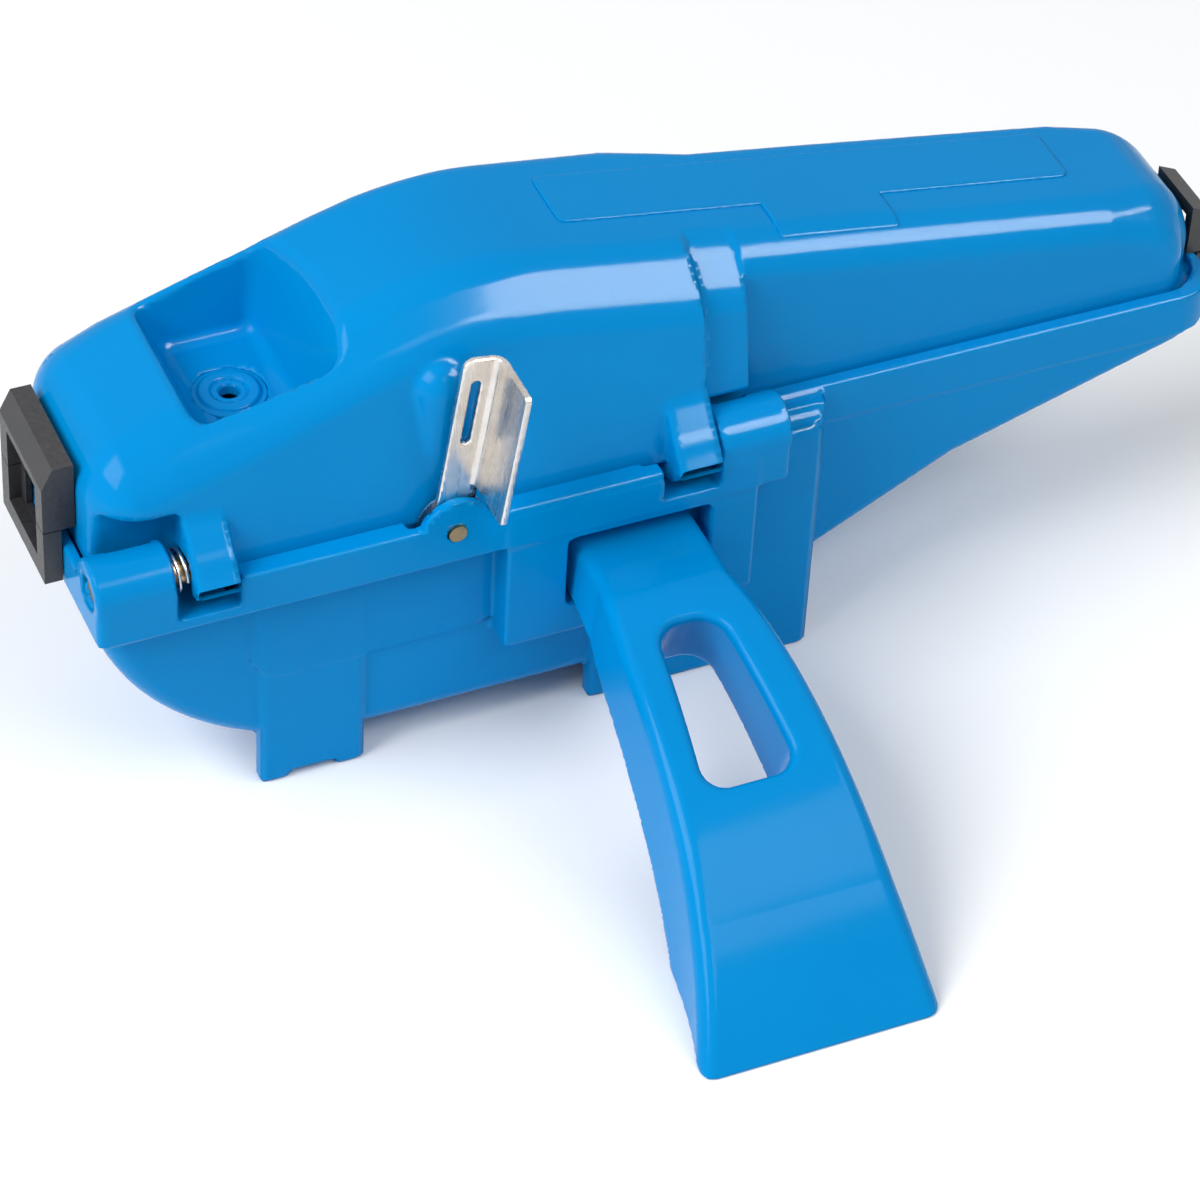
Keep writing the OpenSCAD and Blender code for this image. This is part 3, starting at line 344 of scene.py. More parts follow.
def recess(x, y, z):
    up = z - RECESS_FLOOR
    drawn = RECESS_DRAW * up * np.clip(y / RECESS_DRAW_Y, 0, 1) ** 2
    left = (RECESS_LEFT - LEFT_FLARE * up - x) / LEFT_SCALE
    right = (x - RECESS_RIGHT - RIGHT_FLARE * up + drawn) / RIGHT_SCALE
    front = -RECESS_HALF - FRONT_FLARE * up - y
    rear = (y - RECESS_HALF - REAR_FLARE * up) / REAR_SCALE
    sides = inside_both(np.maximum(left, right), np.maximum(front, rear), RECESS_CORNER)
    return inside_both(sides, -up, RECESS_FLOOR_R)


def ear(x, y, z, span):
    """A catch ear: a barrel on a web that leans back to the cover's side."""
    end_room, join_r, back_round, back_rim = 2, 0.4, 0.2, 0.3
    barrel = rod(y - CATCH_Y, z, x, span[0], span[1], EAR_R, EAR_ROUND)
    web_top = CATCH_Y - EAR_R * math.sin(EAR_WEB_DEG), EAR_R * math.cos(EAR_WEB_DEG)
    wall_top = -COVER_HALF + EAR_WEB_TOP * math.tan(LEAN), EAR_WEB_TOP
    dy, dz = wall_top[0] - web_top[0], wall_top[1] - web_top[1]
    slope = ((z - web_top[1]) * dy - (y - web_top[0]) * dz) / math.hypot(dy, dz)
    web = np.maximum(slope, np.maximum(-COVER_FOOT - z, y - EAR_WEB_REAR))
    web = inside_both(web, between(x, *span), EAR_ROUND)
    low = span[0] - end_room, CATCH_Y + EAR_BACK[0], EAR_BACK_LOW
    high = span[1] + end_room, CATCH_Y + EAR_BACK[1], -COVER_FOOT
    return without(either(barrel, web, join_r), block(x, y, z, low, high, back_round), back_rim)


def slot_cut(x, y, z, start, end):
    """The ear's bore, open below as a flared mouth."""
    bore = np.hypot(y - CATCH_Y, z) - PIN_ROOM_R
    spread = (np.abs(y - CATCH_Y) - PIN_ROOM_R + z * MOUTH_FLARE) * MOUTH_SCALE
    return np.maximum(np.minimum(bore, np.maximum(spread, z)), between(x, start, end))


def filler_ring_field(x, y, z):
    """The round plug of the recess's floor, with its raised ring and its hole."""
    join_r, rim = 0.5, 0.3
    away = np.hypot(x - FILLER_X, y)
    plug = inside_both(away - PLUG_R, np.abs(z - PLUG_Z) - PLUG_HALF, PLUG_ROUND)
    ring = inside_both(np.abs(away - RING_R) - RING_HALF, np.abs(z - RING_Z) - RING_RISE, RING_ROUND)
    collar_side, collar_top = np.abs(away - COLLAR_R) - COLLAR_HALF, np.abs(z - COLLAR_Z) - COLLAR_RISE
    collar = inside_both(collar_side, collar_top, COLLAR_ROUND)
    raised = np.minimum(either(plug, ring, join_r), collar)
    return without(raised, away - PLUG_HOLE_R, rim)


def bare_panel_field(x, y, z):
    """The raised plate on the roof and the small tab on its front edge."""
    level = np.abs(cover_body(x, y, z)) - RAISED_BY
    panel = inside_both(plate(x, y, RAISED_MID, RAISED_HALF, RAISED_ROUND), level, RAISED_RIM)
    tab = inside_both(plate(x, y, TAB_MID, TAB_HALF, TAB_ROUND), level, RAISED_RIM)
    return np.maximum(np.minimum(panel, tab), RAISED_LOW - z)


def cover_hollow(x, y, z, body, rec, pockets):
    """The room inside the cover, with a wall left round the recess, the pockets and the ears."""
    rim, post_rim, room_r = 1.0, 0.6, 1.0
    hollow = inside_both(body + WALL, WALL - rec, rim)
    hollow = np.maximum(hollow, WALL - pockets)
    for span in (RIGHT_EAR, LEFT_EAR):
        low, high = (span[0], EAR_ROOM_FRONT, EAR_ROOM_LOW), (span[1], EAR_ROOM_REAR, EAR_ROOM_TOP)
        hollow = np.maximum(hollow, EAR_WALL - block(x, y, z, low, high, room_r))
    for place in INNER_POST_PLACES:
        post = np.hypot(x - place, np.abs(y) - INNER_POST_Y) - INNER_POST_R
        hollow = without(hollow, np.maximum(post, INNER_POST_LOW - z), post_rim)
    return hollow


def cover_outside(x, y, z, body, rec, left_pocket, right_pocket):
    post_join, left_rim, right_rim, foot_in = 1.0, 1.2, 1.0, 2
    across = np.hypot(x - POST_X, y - POST_Y)
    dome = np.hypot(across, np.maximum(z - POST_TOP, 0)) - POST_R
    outer = either(body, np.maximum(dome, POST_LOW - z), post_join)
    outer = without(outer, left_pocket, left_rim)
    outer = without(outer, right_pocket, right_rim)
    for span in (LEFT_EAR, RIGHT_EAR):
        outer = either(outer, ear(x, y, z, span), EAR_ROUND)
    for start in HINGE_LEFTS:
        ends = start + KNUCKLE[0], start + KNUCKLE[1]
        knuckle = rod(y - HINGE_Y, z - HINGE_Z, x, *ends, HINGE_R, HINGE_ROUND)
        low, high = (ends[0], COVER_HALF - foot_in, ARM_FOOT), (ends[1], HINGE_Y, ARM_TOP)
        arm = block(x, y, z, low, high, HINGE_ROUND)
        outer = either(outer, np.minimum(knuckle, arm), HINGE_ROUND)
    return without(outer, rec, RECESS_RIM)


def cover_field(x, y, z):
    left_round, right_round, foot_rim, bore_clear = 2.0, 1.5, 0.4, 1
    body = cover_body(x, y, z)
    rec = recess(x, y, z)
    left_pocket = block(x, y, z, *LEFT_POCKET, left_round)
    right_pocket = block(x, y, z, *RIGHT_POCKET, right_round)
    outer = cover_outside(x, y, z, body, rec, left_pocket, right_pocket)
    hollow = cover_hollow(x, y, z, body, rec, np.minimum(left_pocket, right_pocket))
    shell = np.maximum(outer, -hollow)
    shell = inside_both(shell, -COVER_FOOT - z, foot_rim)
    shell = np.minimum(shell, np.minimum(ear(x, y, z, LEFT_EAR), ear(x, y, z, RIGHT_EAR)))
    for start in HINGE_LEFTS:
        bore = np.hypot(y - HINGE_Y, z - HINGE_Z) - HINGE_BORE_R
        shell = np.maximum(shell, -np.maximum(bore, between(x, start, start + HINGE_LEN)))
    left_slot = slot_cut(x, y, z, LEFT_EAR[0] - bore_clear, LEFT_EAR[1] - EAR_WALL)
    right_slot = slot_cut(x, y, z, RIGHT_EAR[0] + EAR_WALL, RIGHT_EAR[1] + bore_clear)
    shell = np.maximum(np.maximum(shell, -left_slot), -right_slot)
    filler = np.maximum(np.hypot(x - FILLER_X, y), np.abs(z - FILLER_FLOOR) * 2)
    shell = np.maximum(shell, FILLER_R - filler)
    inlet = block(x, y, z, *COVER_INLET, THROAT_R)
    outlet = block(x, y, z, *COVER_OUTLET, THROAT_R)
    return np.maximum(shell, -np.minimum(inlet, outlet))


# Reservoir
FLANGE_HALF, NOSE_FLANGE_HALF = 34.9, 21.0
FLANGE_ROUND, FLANGE_REAR_R, FLANGE_END_R = 1.5, 16, 10.0
NOSE_FLANGE_FROM, NOSE_REAR_EXTRA = 100, 1.6
BAND_H, BAND_ROUND = 10.6, 0.8
WIDE_LEN = 153.1
BATH_HALF, BATH_DEPTH, BATH_LEN = 27.2, 59.5, 165.0
BATH_ROUND_X = 60
BATH_END = BATH_LEN + 1
BATH_HOLLOW_END = BATH_LEN - 2.5
BOTTOM_R, BATH_SIDE_R = 4.0, 5.0
NOSE_UNDER_PLACES, NOSE_UNDER_Z = [167, 200, 252, 263], [-47.5, -30, -13.5, -8.5]
NOSE_UNDER_SCALE, NOSE_UNDER_R = 0.93, 3.0
NOSE_IN, NOSE_FROM, NOSE_HOLLOW_END = 0.3, 140, 247
LIP_HALF, LIP_DEPTH = 14.5, 6
SEAT_ROOM, SEAT_SHIFT, SEAT_CORNER_R, SEAT_DEPTH = 0.4, 0.6, 10.0, 2.3
PANEL_Y, PANEL_X, PANEL_LOW = 28.2, (34.5, 92), -36.6
PANEL_CORNER_R, PANEL_ROUND = 8.0, 0.7
BOX_X, BOX_LOW, BOX_TOP = (89.0, 146.0), -38.6, -2.5
SOCKET_X, SOCKET_Z = (102.9, 135.1), (-30.6, -12.4)
SOCKET_BACK, SOCKET_ROUND = -27.5, 0.8
LATCH_X, LATCH_Z = 77.45, -2.5
BOSS_R, BOSS_BACK, BOSS_ROUND, RIVET_R = 8.0, -32.4, 0.4, 2.0
LATCH_POCKET_HALF, LATCH_POCKET_REAR, LATCH_POCKET_Z = 10, -29.4, (-11.6, 5)
FEET = ((37.0, 60.3), (112.0, 164.0))
FOOT_THICK, FOOT_TOP = 4, -5
FOOT_NOTCH, FOOT_NOTCH_H = (7, 17), 1.7
RIB_HALF, RIB_TOP = 1, -57
HINGE_PARTS, HINGE_PART_LEN = (0, 16.3), 7.7
HINGE_GAP_R, HINGE_BORE_PAST = 6.1, 1
LEFT_BARREL_END = 17
RIGHT_BARREL_START = RIGHT_EAR[1] + 0.3
NOTCH_SPANS = ((LEFT_BARREL_END, 30.5), (RIGHT_EAR[0] - 2.5, RIGHT_BARREL_START))
NOTCH_LOW, NOTCH_REAR, NOTCH_TOP = -7.5, CATCH_Y + 3.9, 12
FRAME_POST_PLACES, FRAME_POST_Y, FRAME_POST_R, FRAME_POST_TOP = (40, 126), 9, 3.5, -23
PAD_RIBS, PAD_RIB_HALF, PAD_RIB_TOP = (204.7, 227.3), 1.0, -7
PAD_SHELF, PAD_SHELF_Z, PAD_SHELF_HALF = (203, 228), -9, 1
PIN_BORE_R, PIN_HEAD_R, PIN_HEAD_IN = 3.05, 3.9, 1.2
PIN_BORE_ENDS, PIN_BORE_STOPS = (-1, 154), (18, 120)
RIVET_BORE_END = -27.5
SCREW_MID, SCREW_APART, SCREW_Z, SCREW_R = 119, 8, -23.5, 2.05
BATH_INLET = (-4, -6, -4), (8.5, 6, 4)
BATH_OUTLET = (246, -5.5, -2.5), (270, 5.5, 4)
FAR_FRONT = -60


def bath_form(x, y, z, t):
    """The bath and its nose, drawn in by t."""
    round_end = np.hypot(x - BATH_ROUND_X, np.minimum(z, 0)) - BATH_DEPTH + t
    bottom = np.where(x < BATH_ROUND_X, round_end, -z - BATH_DEPTH + t)
    side = np.abs(y) - BATH_HALF + t
    deep = inside_both(inside_both(bottom, x - BATH_END + t, BOTTOM_R), side, BATH_SIDE_R - t / 2)
    nose_side, nose_end = np.abs(y) - NOSE_FLANGE_HALF + NOSE_IN + t, x - FLANGE_LEN + NOSE_IN + t
    under = (ramp(x, NOSE_UNDER_PLACES, NOSE_UNDER_Z) - z) * NOSE_UNDER_SCALE + t
    nose = inside_both(inside_both(nose_side, nose_end, FLANGE_END_R - t), under, NOSE_UNDER_R)
    return deep, np.maximum(nose, NOSE_FROM - x)


def flange_outline(x, y):
    wide = inside_both(np.abs(y) - FLANGE_HALF, np.maximum(-x, x - WIDE_LEN), FLANGE_ROUND)
    past_x, past_y = FLANGE_REAR_R - x, y - FLANGE_HALF + FLANGE_REAR_R
    rear_corner = np.hypot(np.maximum(past_x, 0), np.maximum(past_y, 0)) - FLANGE_REAR_R
    wide = np.where((past_x > 0) & (past_y > 0), np.maximum(wide, rear_corner), wide)
    nose_half = np.where(y > 0, NOSE_FLANGE_HALF + NOSE_REAR_EXTRA, NOSE_FLANGE_HALF)
    nose = inside_both(np.abs(y) - nose_half, x - FLANGE_LEN, FLANGE_END_R)
    return either(wide, np.maximum(nose, NOSE_FLANGE_FROM - x), FLANGE_ROUND)


def cover_seat(x, y):
    """The rebate that takes the cover's foot."""
    side = np.abs(y) - cover_half(x - SEAT_SHIFT, y) - SEAT_ROOM
    return inside_both(side, between(x, COVER_LEFT - SEAT_ROOM, COVER_RIGHT + SEAT_ROOM), SEAT_CORNER_R)


def side_panel(x, y, z):
    outline = inside_both(between(x, *PANEL_X), PANEL_LOW - z, PANEL_CORNER_R)
    return inside_both(np.maximum(outline, z + 1), np.abs(y) - PANEL_Y, PANEL_ROUND)


def foot(x, y, z, span):
    plate_round, notch_round, rim = 0.6, 0.4, 0.3
    far_side, far_below = 40, -80
    low, high = (span[0], PANEL_Y - FOOT_THICK, -PARTING_Z), (span[1], PANEL_Y, FOOT_TOP)
    upright = block(x, np.abs(y), z, low, high, plate_round)
    notch_low = span[0] + FOOT_NOTCH[0], -far_side, far_below
    notch_high = span[0] + FOOT_NOTCH[1], far_side, -PARTING_Z + FOOT_NOTCH_H
    return without(upright, block(x, y, z, notch_low, notch_high, notch_round), rim)


def bath_outside(x, y, z):
    """The bath with its flange, panels, feet, handle box and hinge barrels."""
    nose_join, band_join, panel_join, join_r, rib_round = 1.5, 0.5, 0.4, 0.6, 0.3
    box_in, box_round = 2, 0.8
    body = np.maximum(either(*bath_form(x, y, z, 0.0), nose_join), z + 1)
    band = inside_both(flange_outline(x, y), np.maximum(z, -BAND_H - z), BAND_ROUND)
    body = np.minimum(either(body, band, band_join), np.minimum(body, band))
    body = either(body, side_panel(x, y, z), panel_join)
    for span in FEET:
        body = either(body, foot(x, y, z, span), join_r)
    middle = FLANGE_LEN / 2
    low, high = (middle - RIB_HALF, -BATH_HALF, -PARTING_Z), (middle + RIB_HALF, BATH_HALF, RIB_TOP)
    body = np.minimum(body, block(x, y, z, low, high, rib_round))
    low, high = (BOX_X[0], -FLANGE_HALF, BOX_LOW), (BOX_X[1], -BATH_HALF + box_in, BOX_TOP)
    body = either(body, block(x, y, z, low, high, box_round), box_round)
    for start in HINGE_LEFTS:
        for left in [start + part for part in HINGE_PARTS]:
            ends = left, left + HINGE_PART_LEN
            body = either(body, rod(y - HINGE_Y, z - HINGE_Z, x, *ends, HINGE_R, HINGE_ROUND), join_r)
    return body


def bath_hollow(x, y, z, notches):
    """The room inside the bath and its nose, less the posts, ribs and shelf that stand in it."""
    deep, nose = bath_form(x, y, z, WALL)
    lip = np.maximum(np.abs(y) - LIP_HALF, -LIP_DEPTH - z)
    nose = np.maximum(nose, np.maximum(np.minimum(z + LIP_DEPTH, lip), x - NOSE_HOLLOW_END))
    top_sides = np.maximum(LIP_HALF - np.abs(y), -LIP_DEPTH - z)
    closed_top = np.maximum(STRIP_END - 1 - x, top_sides)
    hollow = np.maximum(np.maximum(deep, x - BATH_HOLLOW_END), -closed_top)
    for notch in notches:
        hollow = np.maximum(hollow, WALL - notch)
    post_x = np.minimum(np.abs(x - FRAME_POST_PLACES[0]), np.abs(x - FRAME_POST_PLACES[1]))
    posts = np.hypot(post_x, np.abs(y) - FRAME_POST_Y) - FRAME_POST_R
    hollow = np.maximum(hollow, -np.maximum(posts, z - FRAME_POST_TOP))
    ribs = np.minimum(np.abs(x - PAD_RIBS[0]), np.abs(x - PAD_RIBS[1])) - PAD_RIB_HALF
    nose = np.maximum(nose, -np.maximum(ribs, z - PAD_RIB_TOP))
    shelf = np.maximum(between(x, *PAD_SHELF), np.abs(z - PAD_SHELF_Z) - PAD_SHELF_HALF)
    return np.minimum(hollow, np.maximum(nose, -shelf))


def catch_bores(x, y, z):
    """Bores of the two catch pins, wider at the outer ends for the pins' heads."""
    across = np.hypot(y - CATCH_Y, z)
    bore = np.maximum(across - PIN_BORE_R, between(x, *PIN_BORE_ENDS))
    heads_from = np.minimum(x - PIN_HEAD_IN, WIDE_LEN - PIN_HEAD_IN - x)
    heads = np.maximum(across - PIN_HEAD_R, heads_from)
    left_stop, right_stop = PIN_BORE_STOPS
    return np.maximum(np.minimum(bore, heads), np.minimum(x - left_stop, right_stop - x))


def reservoir_field(x, y, z):
    notch_round, seat_rim, pocket_round, gap_round, throat_round = 0.6, 0.4, 0.3, 0.2, 0.4
    left_barrel = rod(y - CATCH_Y, z, x, 0, LEFT_BARREL_END, BARREL_R, EAR_ROUND)
    right_barrel = rod(y - CATCH_Y, z, x, RIGHT_BARREL_START, WIDE_LEN, BARREL_R, EAR_ROUND)
    boss = rod(x - LATCH_X, z - LATCH_Z, y, -FLANGE_HALF, BOSS_BACK, BOSS_R, BOSS_ROUND)
    notches = []
    for start, end in NOTCH_SPANS:
        low, high = (start, FAR_FRONT, NOTCH_LOW), (end, NOTCH_REAR, NOTCH_TOP)
        notches.append(block(x, y, z, low, high, notch_round))
    seat = np.maximum(cover_seat(x, y), -SEAT_DEPTH - z)
    body = without(bath_outside(x, y, z), seat, seat_rim)
    body = np.minimum(body, np.minimum(left_barrel, right_barrel))
    body = np.maximum(body, -bath_hollow(x, y, z, notches))
    body = np.minimum(body, boss)
    for notch in notches:
        body = without(body, notch, seat_rim)
    low = LATCH_X - LATCH_POCKET_HALF, BOSS_BACK, LATCH_POCKET_Z[0]
    high = LATCH_X + LATCH_POCKET_HALF, LATCH_POCKET_REAR, LATCH_POCKET_Z[1]
    body = np.maximum(body, -block(x, y, z, low, high, pocket_round))
    for start in HINGE_LEFTS:
        ends = start + HINGE_PART_LEN, start + HINGE_PARTS[1]
        gap = rod(y - HINGE_Y, z - HINGE_Z, x, *ends, HINGE_GAP_R, gap_round)
        bore_ends = start - HINGE_BORE_PAST, start + HINGE_LEN + HINGE_BORE_PAST
        bore = np.maximum(np.hypot(y - HINGE_Y, z - HINGE_Z) - HINGE_BORE_R, between(x, *bore_ends))
        body = np.maximum(body, -np.minimum(gap, bore))
    body = np.maximum(body, -catch_bores(x, y, z))
    rivet_bore = np.maximum(np.hypot(x - LATCH_X, z - LATCH_Z) - RIVET_R, y - RIVET_BORE_END)
    low, high = (SOCKET_X[0], FAR_FRONT, SOCKET_Z[0]), (SOCKET_X[1], SOCKET_BACK, SOCKET_Z[1])
    socket = block(x, y, z, low, high, SOCKET_ROUND)
    screws = np.maximum(handle_screws(x, z), y)
    inlet = block(x, y, z, *BATH_INLET, throat_round)
    outlet = block(x, y, z, *BATH_OUTLET, throat_round)
    cuts = np.minimum(np.minimum(rivet_bore, socket), np.minimum(screws, np.minimum(inlet, outlet)))
    return np.maximum(body, -cuts)


def handle_screws(x, z):
    return np.hypot(np.abs(x - SCREW_MID) - SCREW_APART, z - SCREW_Z) - SCREW_R


# Handle: its top is level to the crease and then follows an arc down to the bench
HANDLE_TOP, CREASE_Y, START_DEG, END_DEG, BEND_R = -16.5, -49.4, 6.6, 55.3, 129.4
ARC_Y = CREASE_Y + BEND_R * math.sin(math.radians(START_DEG))
ARC_Z = HANDLE_TOP - BEND_R * math.cos(math.radians(START_DEG))
HANDLE_ROOT = -27.8
# Places are distances in front of the chain's plane
LEFT_EDGE_AT = [45, 60, 74, 87, 109, 133, 140]
LEFT_EDGE = [105.2, 103.2, 101.9, 100.8, 98.0, 91.8, 88.2]
RIGHT_EDGE_AT = [50, 60, 71, 84, 106, 118, 134, 140]
RIGHT_EDGE = [132.4, 135.0, 136.8, 138.0, 140.0, 141.9, 144.0, 144.8]
THICK_AT = [27, 35, 49.6, 68.4, 83, 93.5, 103.2, 115, 140]
THICK = [13.8, 13.8, 18, 19.2, 21, 22, 22.6, 22.8, 24]
TOP_ROUND_AT, TOP_ROUND = [50, 130], [2.2, 4.2]
UNDER_ROUND, BENCH_ROUND = 1.2, 0.8
DRAFT, DRAFT_DEEPEST = 0.09, 20
TIP_LIFT, TIP_LIFT_FROM, TIP_LIFT_REACH = 0.07, 118, 40
LEFT_TIP_R, RIGHT_TIP_R = 6.0, 5.0
HOLE_X, HOLE_Y, HOLE_Z = 118.7, -78.25, -25.0
HOLE_TILT, HOLE_MID, HOLE_HALF_LEN = math.radians(20), 0.8, 19.0
HOLE_HALF_AT, HOLE_HALF = [-20, 18], [6.8, 10.3]
HOLE_CORNER, HOLE_RIM = 5.5, 2.2
SCREW_HEAD_Y = -41


def fair(x, places, values):
    """A smooth curve near measured points."""
    degree = 3
    middle, reach = (places[0] + places[-1]) / 2, (places[-1] - places[0]) / 2
    fit = np.polyfit((np.array(places) - middle) / reach, values, degree)
    return np.polyval(fit, (np.clip(x, places[0], places[-1]) - middle) / reach)


def handle_field(x, y, z):
    angle = np.degrees(np.arctan2(ARC_Y - y, z - ARC_Z))
    top = np.where(angle > START_DEG, np.hypot(y - ARC_Y, z - ARC_Z) - BEND_R, z - HANDLE_TOP)
    flare = np.clip(-top, 0, DRAFT_DEEPEST) * DRAFT
    top = top - np.clip(-y - TIP_LIFT_FROM, 0, TIP_LIFT_REACH) * TIP_LIFT
    tip = (angle - END_DEG) * math.radians(1) * BEND_R
    left = fair(-y, LEFT_EDGE_AT, LEFT_EDGE) - flare - x
    right = x - fair(-y, RIGHT_EDGE_AT, RIGHT_EDGE) - flare
    sides = np.maximum(inside_both(left, tip, LEFT_TIP_R), inside_both(right, tip, RIGHT_TIP_R))
    under = np.maximum(-top - ramp(-y, THICK_AT, THICK), y - HANDLE_ROOT)
    bar = inside_both(sides, under, UNDER_ROUND)
    bar = inside_both(bar, top, ramp(-y, TOP_ROUND_AT, TOP_ROUND))
    bar = inside_both(bar, -PARTING_Z - z, BENCH_ROUND)
    along = (y - HOLE_Y) * math.cos(HOLE_TILT) + (z - HOLE_Z) * math.sin(HOLE_TILT)
    hole_side = np.abs(x - HOLE_X) - ramp(-along, HOLE_HALF_AT, HOLE_HALF)
    hole = inside_both(hole_side, np.abs(along - HOLE_MID) - HOLE_HALF_LEN, HOLE_CORNER)
    bar = without(bar, hole, HOLE_RIM)
    return np.maximum(bar, -np.maximum(handle_screws(x, z), SCREW_HEAD_Y - y))


# Latch lever, in its own frame: u across the plate, v towards the viewer, w up from the rivet
LEVER_LEAN = math.radians(8)
LEVER_T, LEVER_W, LEVER_LEN, LEVER_BEND, TAB_FOOT = 1.5, 9.1, 43.0, 3.0, 10.2
LEVER_BACK = -30.8
TAB_END = 15.5
LEVER_CORNER_R, TAB_CORNER_R = 2.6, 1.2
LEVER_SLOT, LEVER_SLOT_U, LEVER_SLOT_R = (22.5, 36.5), -1.0, 1.05
EDGE_ROUND, HOLE_ROUND = 0.4, 0.25


def lever_field(x, y, z):
    hair = 0.01
    u = (x - LATCH_X) * math.cos(LEVER_LEAN) - (z - LATCH_Z) * math.sin(LEVER_LEAN)
    w = (x - LATCH_X) * math.sin(LEVER_LEAN) + (z - LATCH_Z) * math.cos(LEVER_LEAN)
    v = LEVER_BACK - y
    half = LEVER_W / 2
    bend = inside_both(u - half, -v, LEVER_BEND)
    sheet = np.maximum(bend, -bend - LEVER_T)
    corner = inside_both(-half - u, w - LEVER_LEN, LEVER_CORNER_R)
    tab_corner = inside_both(v - TAB_END, w - LEVER_LEN, TAB_CORNER_R)
    low_corner = inside_both(v - TAB_END, TAB_FOOT - w, TAB_CORNER_R)
    edge = np.maximum(corner, tab_corner)
    foot_end = np.where(w > 0, np.abs(u) - half, np.hypot(u, w) - half)
    lower = np.where(v < LEVER_T + hair, foot_end, low_corner)
    edge = np.maximum(edge, np.minimum(low_corner, lower))
    sheet = inside_both(sheet, edge, EDGE_ROUND)
    past_plate = v - 2 * LEVER_T
    slot_w = np.clip(w, *LEVER_SLOT)
    slot = np.maximum(np.hypot(u - LEVER_SLOT_U, w - slot_w) - LEVER_SLOT_R, past_plate)
    bore = np.maximum(np.hypot(u, w) - RIVET_R, past_plate)
    return without(sheet, np.minimum(slot, bore), HOLE_ROUND)


# Materials
def nodes_of(name):
    material = bpy.data.materials.new(name)
    material.use_nodes = True
    tree = material.node_tree
    return material, tree, tree.nodes["Principled BSDF"]


def add(tree, kind, **sockets):
    node = tree.nodes.new(kind)
    for key, value in sockets.items():
        if key in node.inputs:
            node.inputs[key].default_value = value
        else:
            setattr(node, key, value)
    return node


def noise(tree, scale, detail, rough, stretch=None):
    coords = tree.nodes.new("ShaderNodeTexCoord")
    node = add(tree, "ShaderNodeTexNoise", Scale=scale, Detail=detail, Roughness=rough)
    source = coords.outputs["Object"]
    if stretch:
        mapping = add(tree, "ShaderNodeMapping", Scale=stretch)
        tree.links.new(source, mapping.inputs["Vector"])
        source = mapping.outputs["Vector"]
    tree.links.new(source, node.inputs["Vector"])
    return node.outputs["Fac"]


NOISE_LOW, NOISE_HIGH = 0.3, 0.7


def spread(tree, source, low, high):
    """The noise's usual range laid out from low to high."""
    node = tree.nodes.new("ShaderNodeMapRange")
    ends = (("From Min", NOISE_LOW), ("From Max", NOISE_HIGH), ("To Min", low), ("To Max", high))
    for key, value in ends:
        node.inputs[key].default_value = value
    tree.links.new(source, node.inputs["Value"])
    return node.outputs["Result"]


def mixed(tree, source, first, second):
    factor = spread(tree, source, 0, 1)
    node = tree.nodes.new("ShaderNodeMix")
    node.data_type = "RGBA"
    node.inputs[6].default_value = (*first, 1)
    node.inputs[7].default_value = (*second, 1)
    tree.links.new(factor, node.inputs[0])
    return node.outputs[2]


def bumped(tree, shader, height, strength, distance):
    node = add(tree, "ShaderNodeBump", Strength=strength, Distance=distance)
    tree.links.new(height, node.inputs["Height"])
    tree.links.new(node.outputs["Normal"], shader.inputs["Normal"])


DRIFT = {"scale": 18.0, "detail": 2.0, "rough": 0.5}
MARKS = {"scale": 420.0, "detail": 4.0, "rough": 0.6}
PEEL = {"scale": 260.0, "detail": 1.0, "rough": 0.4}
PEEL_STRENGTH, PEEL_DEPTH = 0.05, 0.0003
GRAIN_DEPTH = 0.0002
METAL_SCALE, METAL_BUMP = 600.0, 0.08
METAL_GRAIN = {"detail": 5.0, "rough": 0.65}
STAIN = {"scale": 90.0, "detail": 4.0, "rough": 0.6}
SMOOTHEST, ROUGHEST = 0.7, 1.35
SATIN_SCALE, SATIN_BUMP = 900.0, 0.15
SATIN_GRAIN = {"detail": 3.0, "rough": 0.6}
GLOSS_LEVEL = 0.07


def glossy_plastic(name, color, deep, low, high):
    """Gloss moulding: faint orange peel, fine marks in the roughness, slow drift of the pigment."""
    material, tree, shader = nodes_of(name)
    drift, marks, peel = noise(tree, **DRIFT), noise(tree, **MARKS), noise(tree, **PEEL)
    tree.links.new(mixed(tree, drift, color, deep), shader.inputs["Base Color"])
    tree.links.new(spread(tree, marks, low, high), shader.inputs["Roughness"])
    bumped(tree, shader, peel, PEEL_STRENGTH, PEEL_DEPTH)
    shader.inputs["Specular IOR Level"].default_value = GLOSS_LEVEL
    return material


def metal(name, color, dark, rough, stretch):
    """Rolled or turned metal: long fine grain in the roughness and the bump, and faint stains."""
    material, tree, shader = nodes_of(name)
    grain, stain = noise(tree, METAL_SCALE, stretch=stretch, **METAL_GRAIN), noise(tree, **STAIN)
    tree.links.new(mixed(tree, stain, color, dark), shader.inputs["Base Color"])
    tree.links.new(spread(tree, grain, rough * SMOOTHEST, rough * ROUGHEST), shader.inputs["Roughness"])
    bumped(tree, shader, grain, METAL_BUMP, GRAIN_DEPTH)
    shader.inputs["Metallic"].default_value = 1.0
    return material


def satin_plastic(name, color, deep, low, high, scale=SATIN_SCALE, strength=SATIN_BUMP):
    """Satin moulding with a fine spark-eroded grain."""
    material, tree, shader = nodes_of(name)
    grain = noise(tree, scale, **SATIN_GRAIN)
    tree.links.new(mixed(tree, grain, color, deep), shader.inputs["Base Color"])
    tree.links.new(spread(tree, grain, low, high), shader.inputs["Roughness"])
    bumped(tree, shader, grain, strength, GRAIN_DEPTH)
    return material


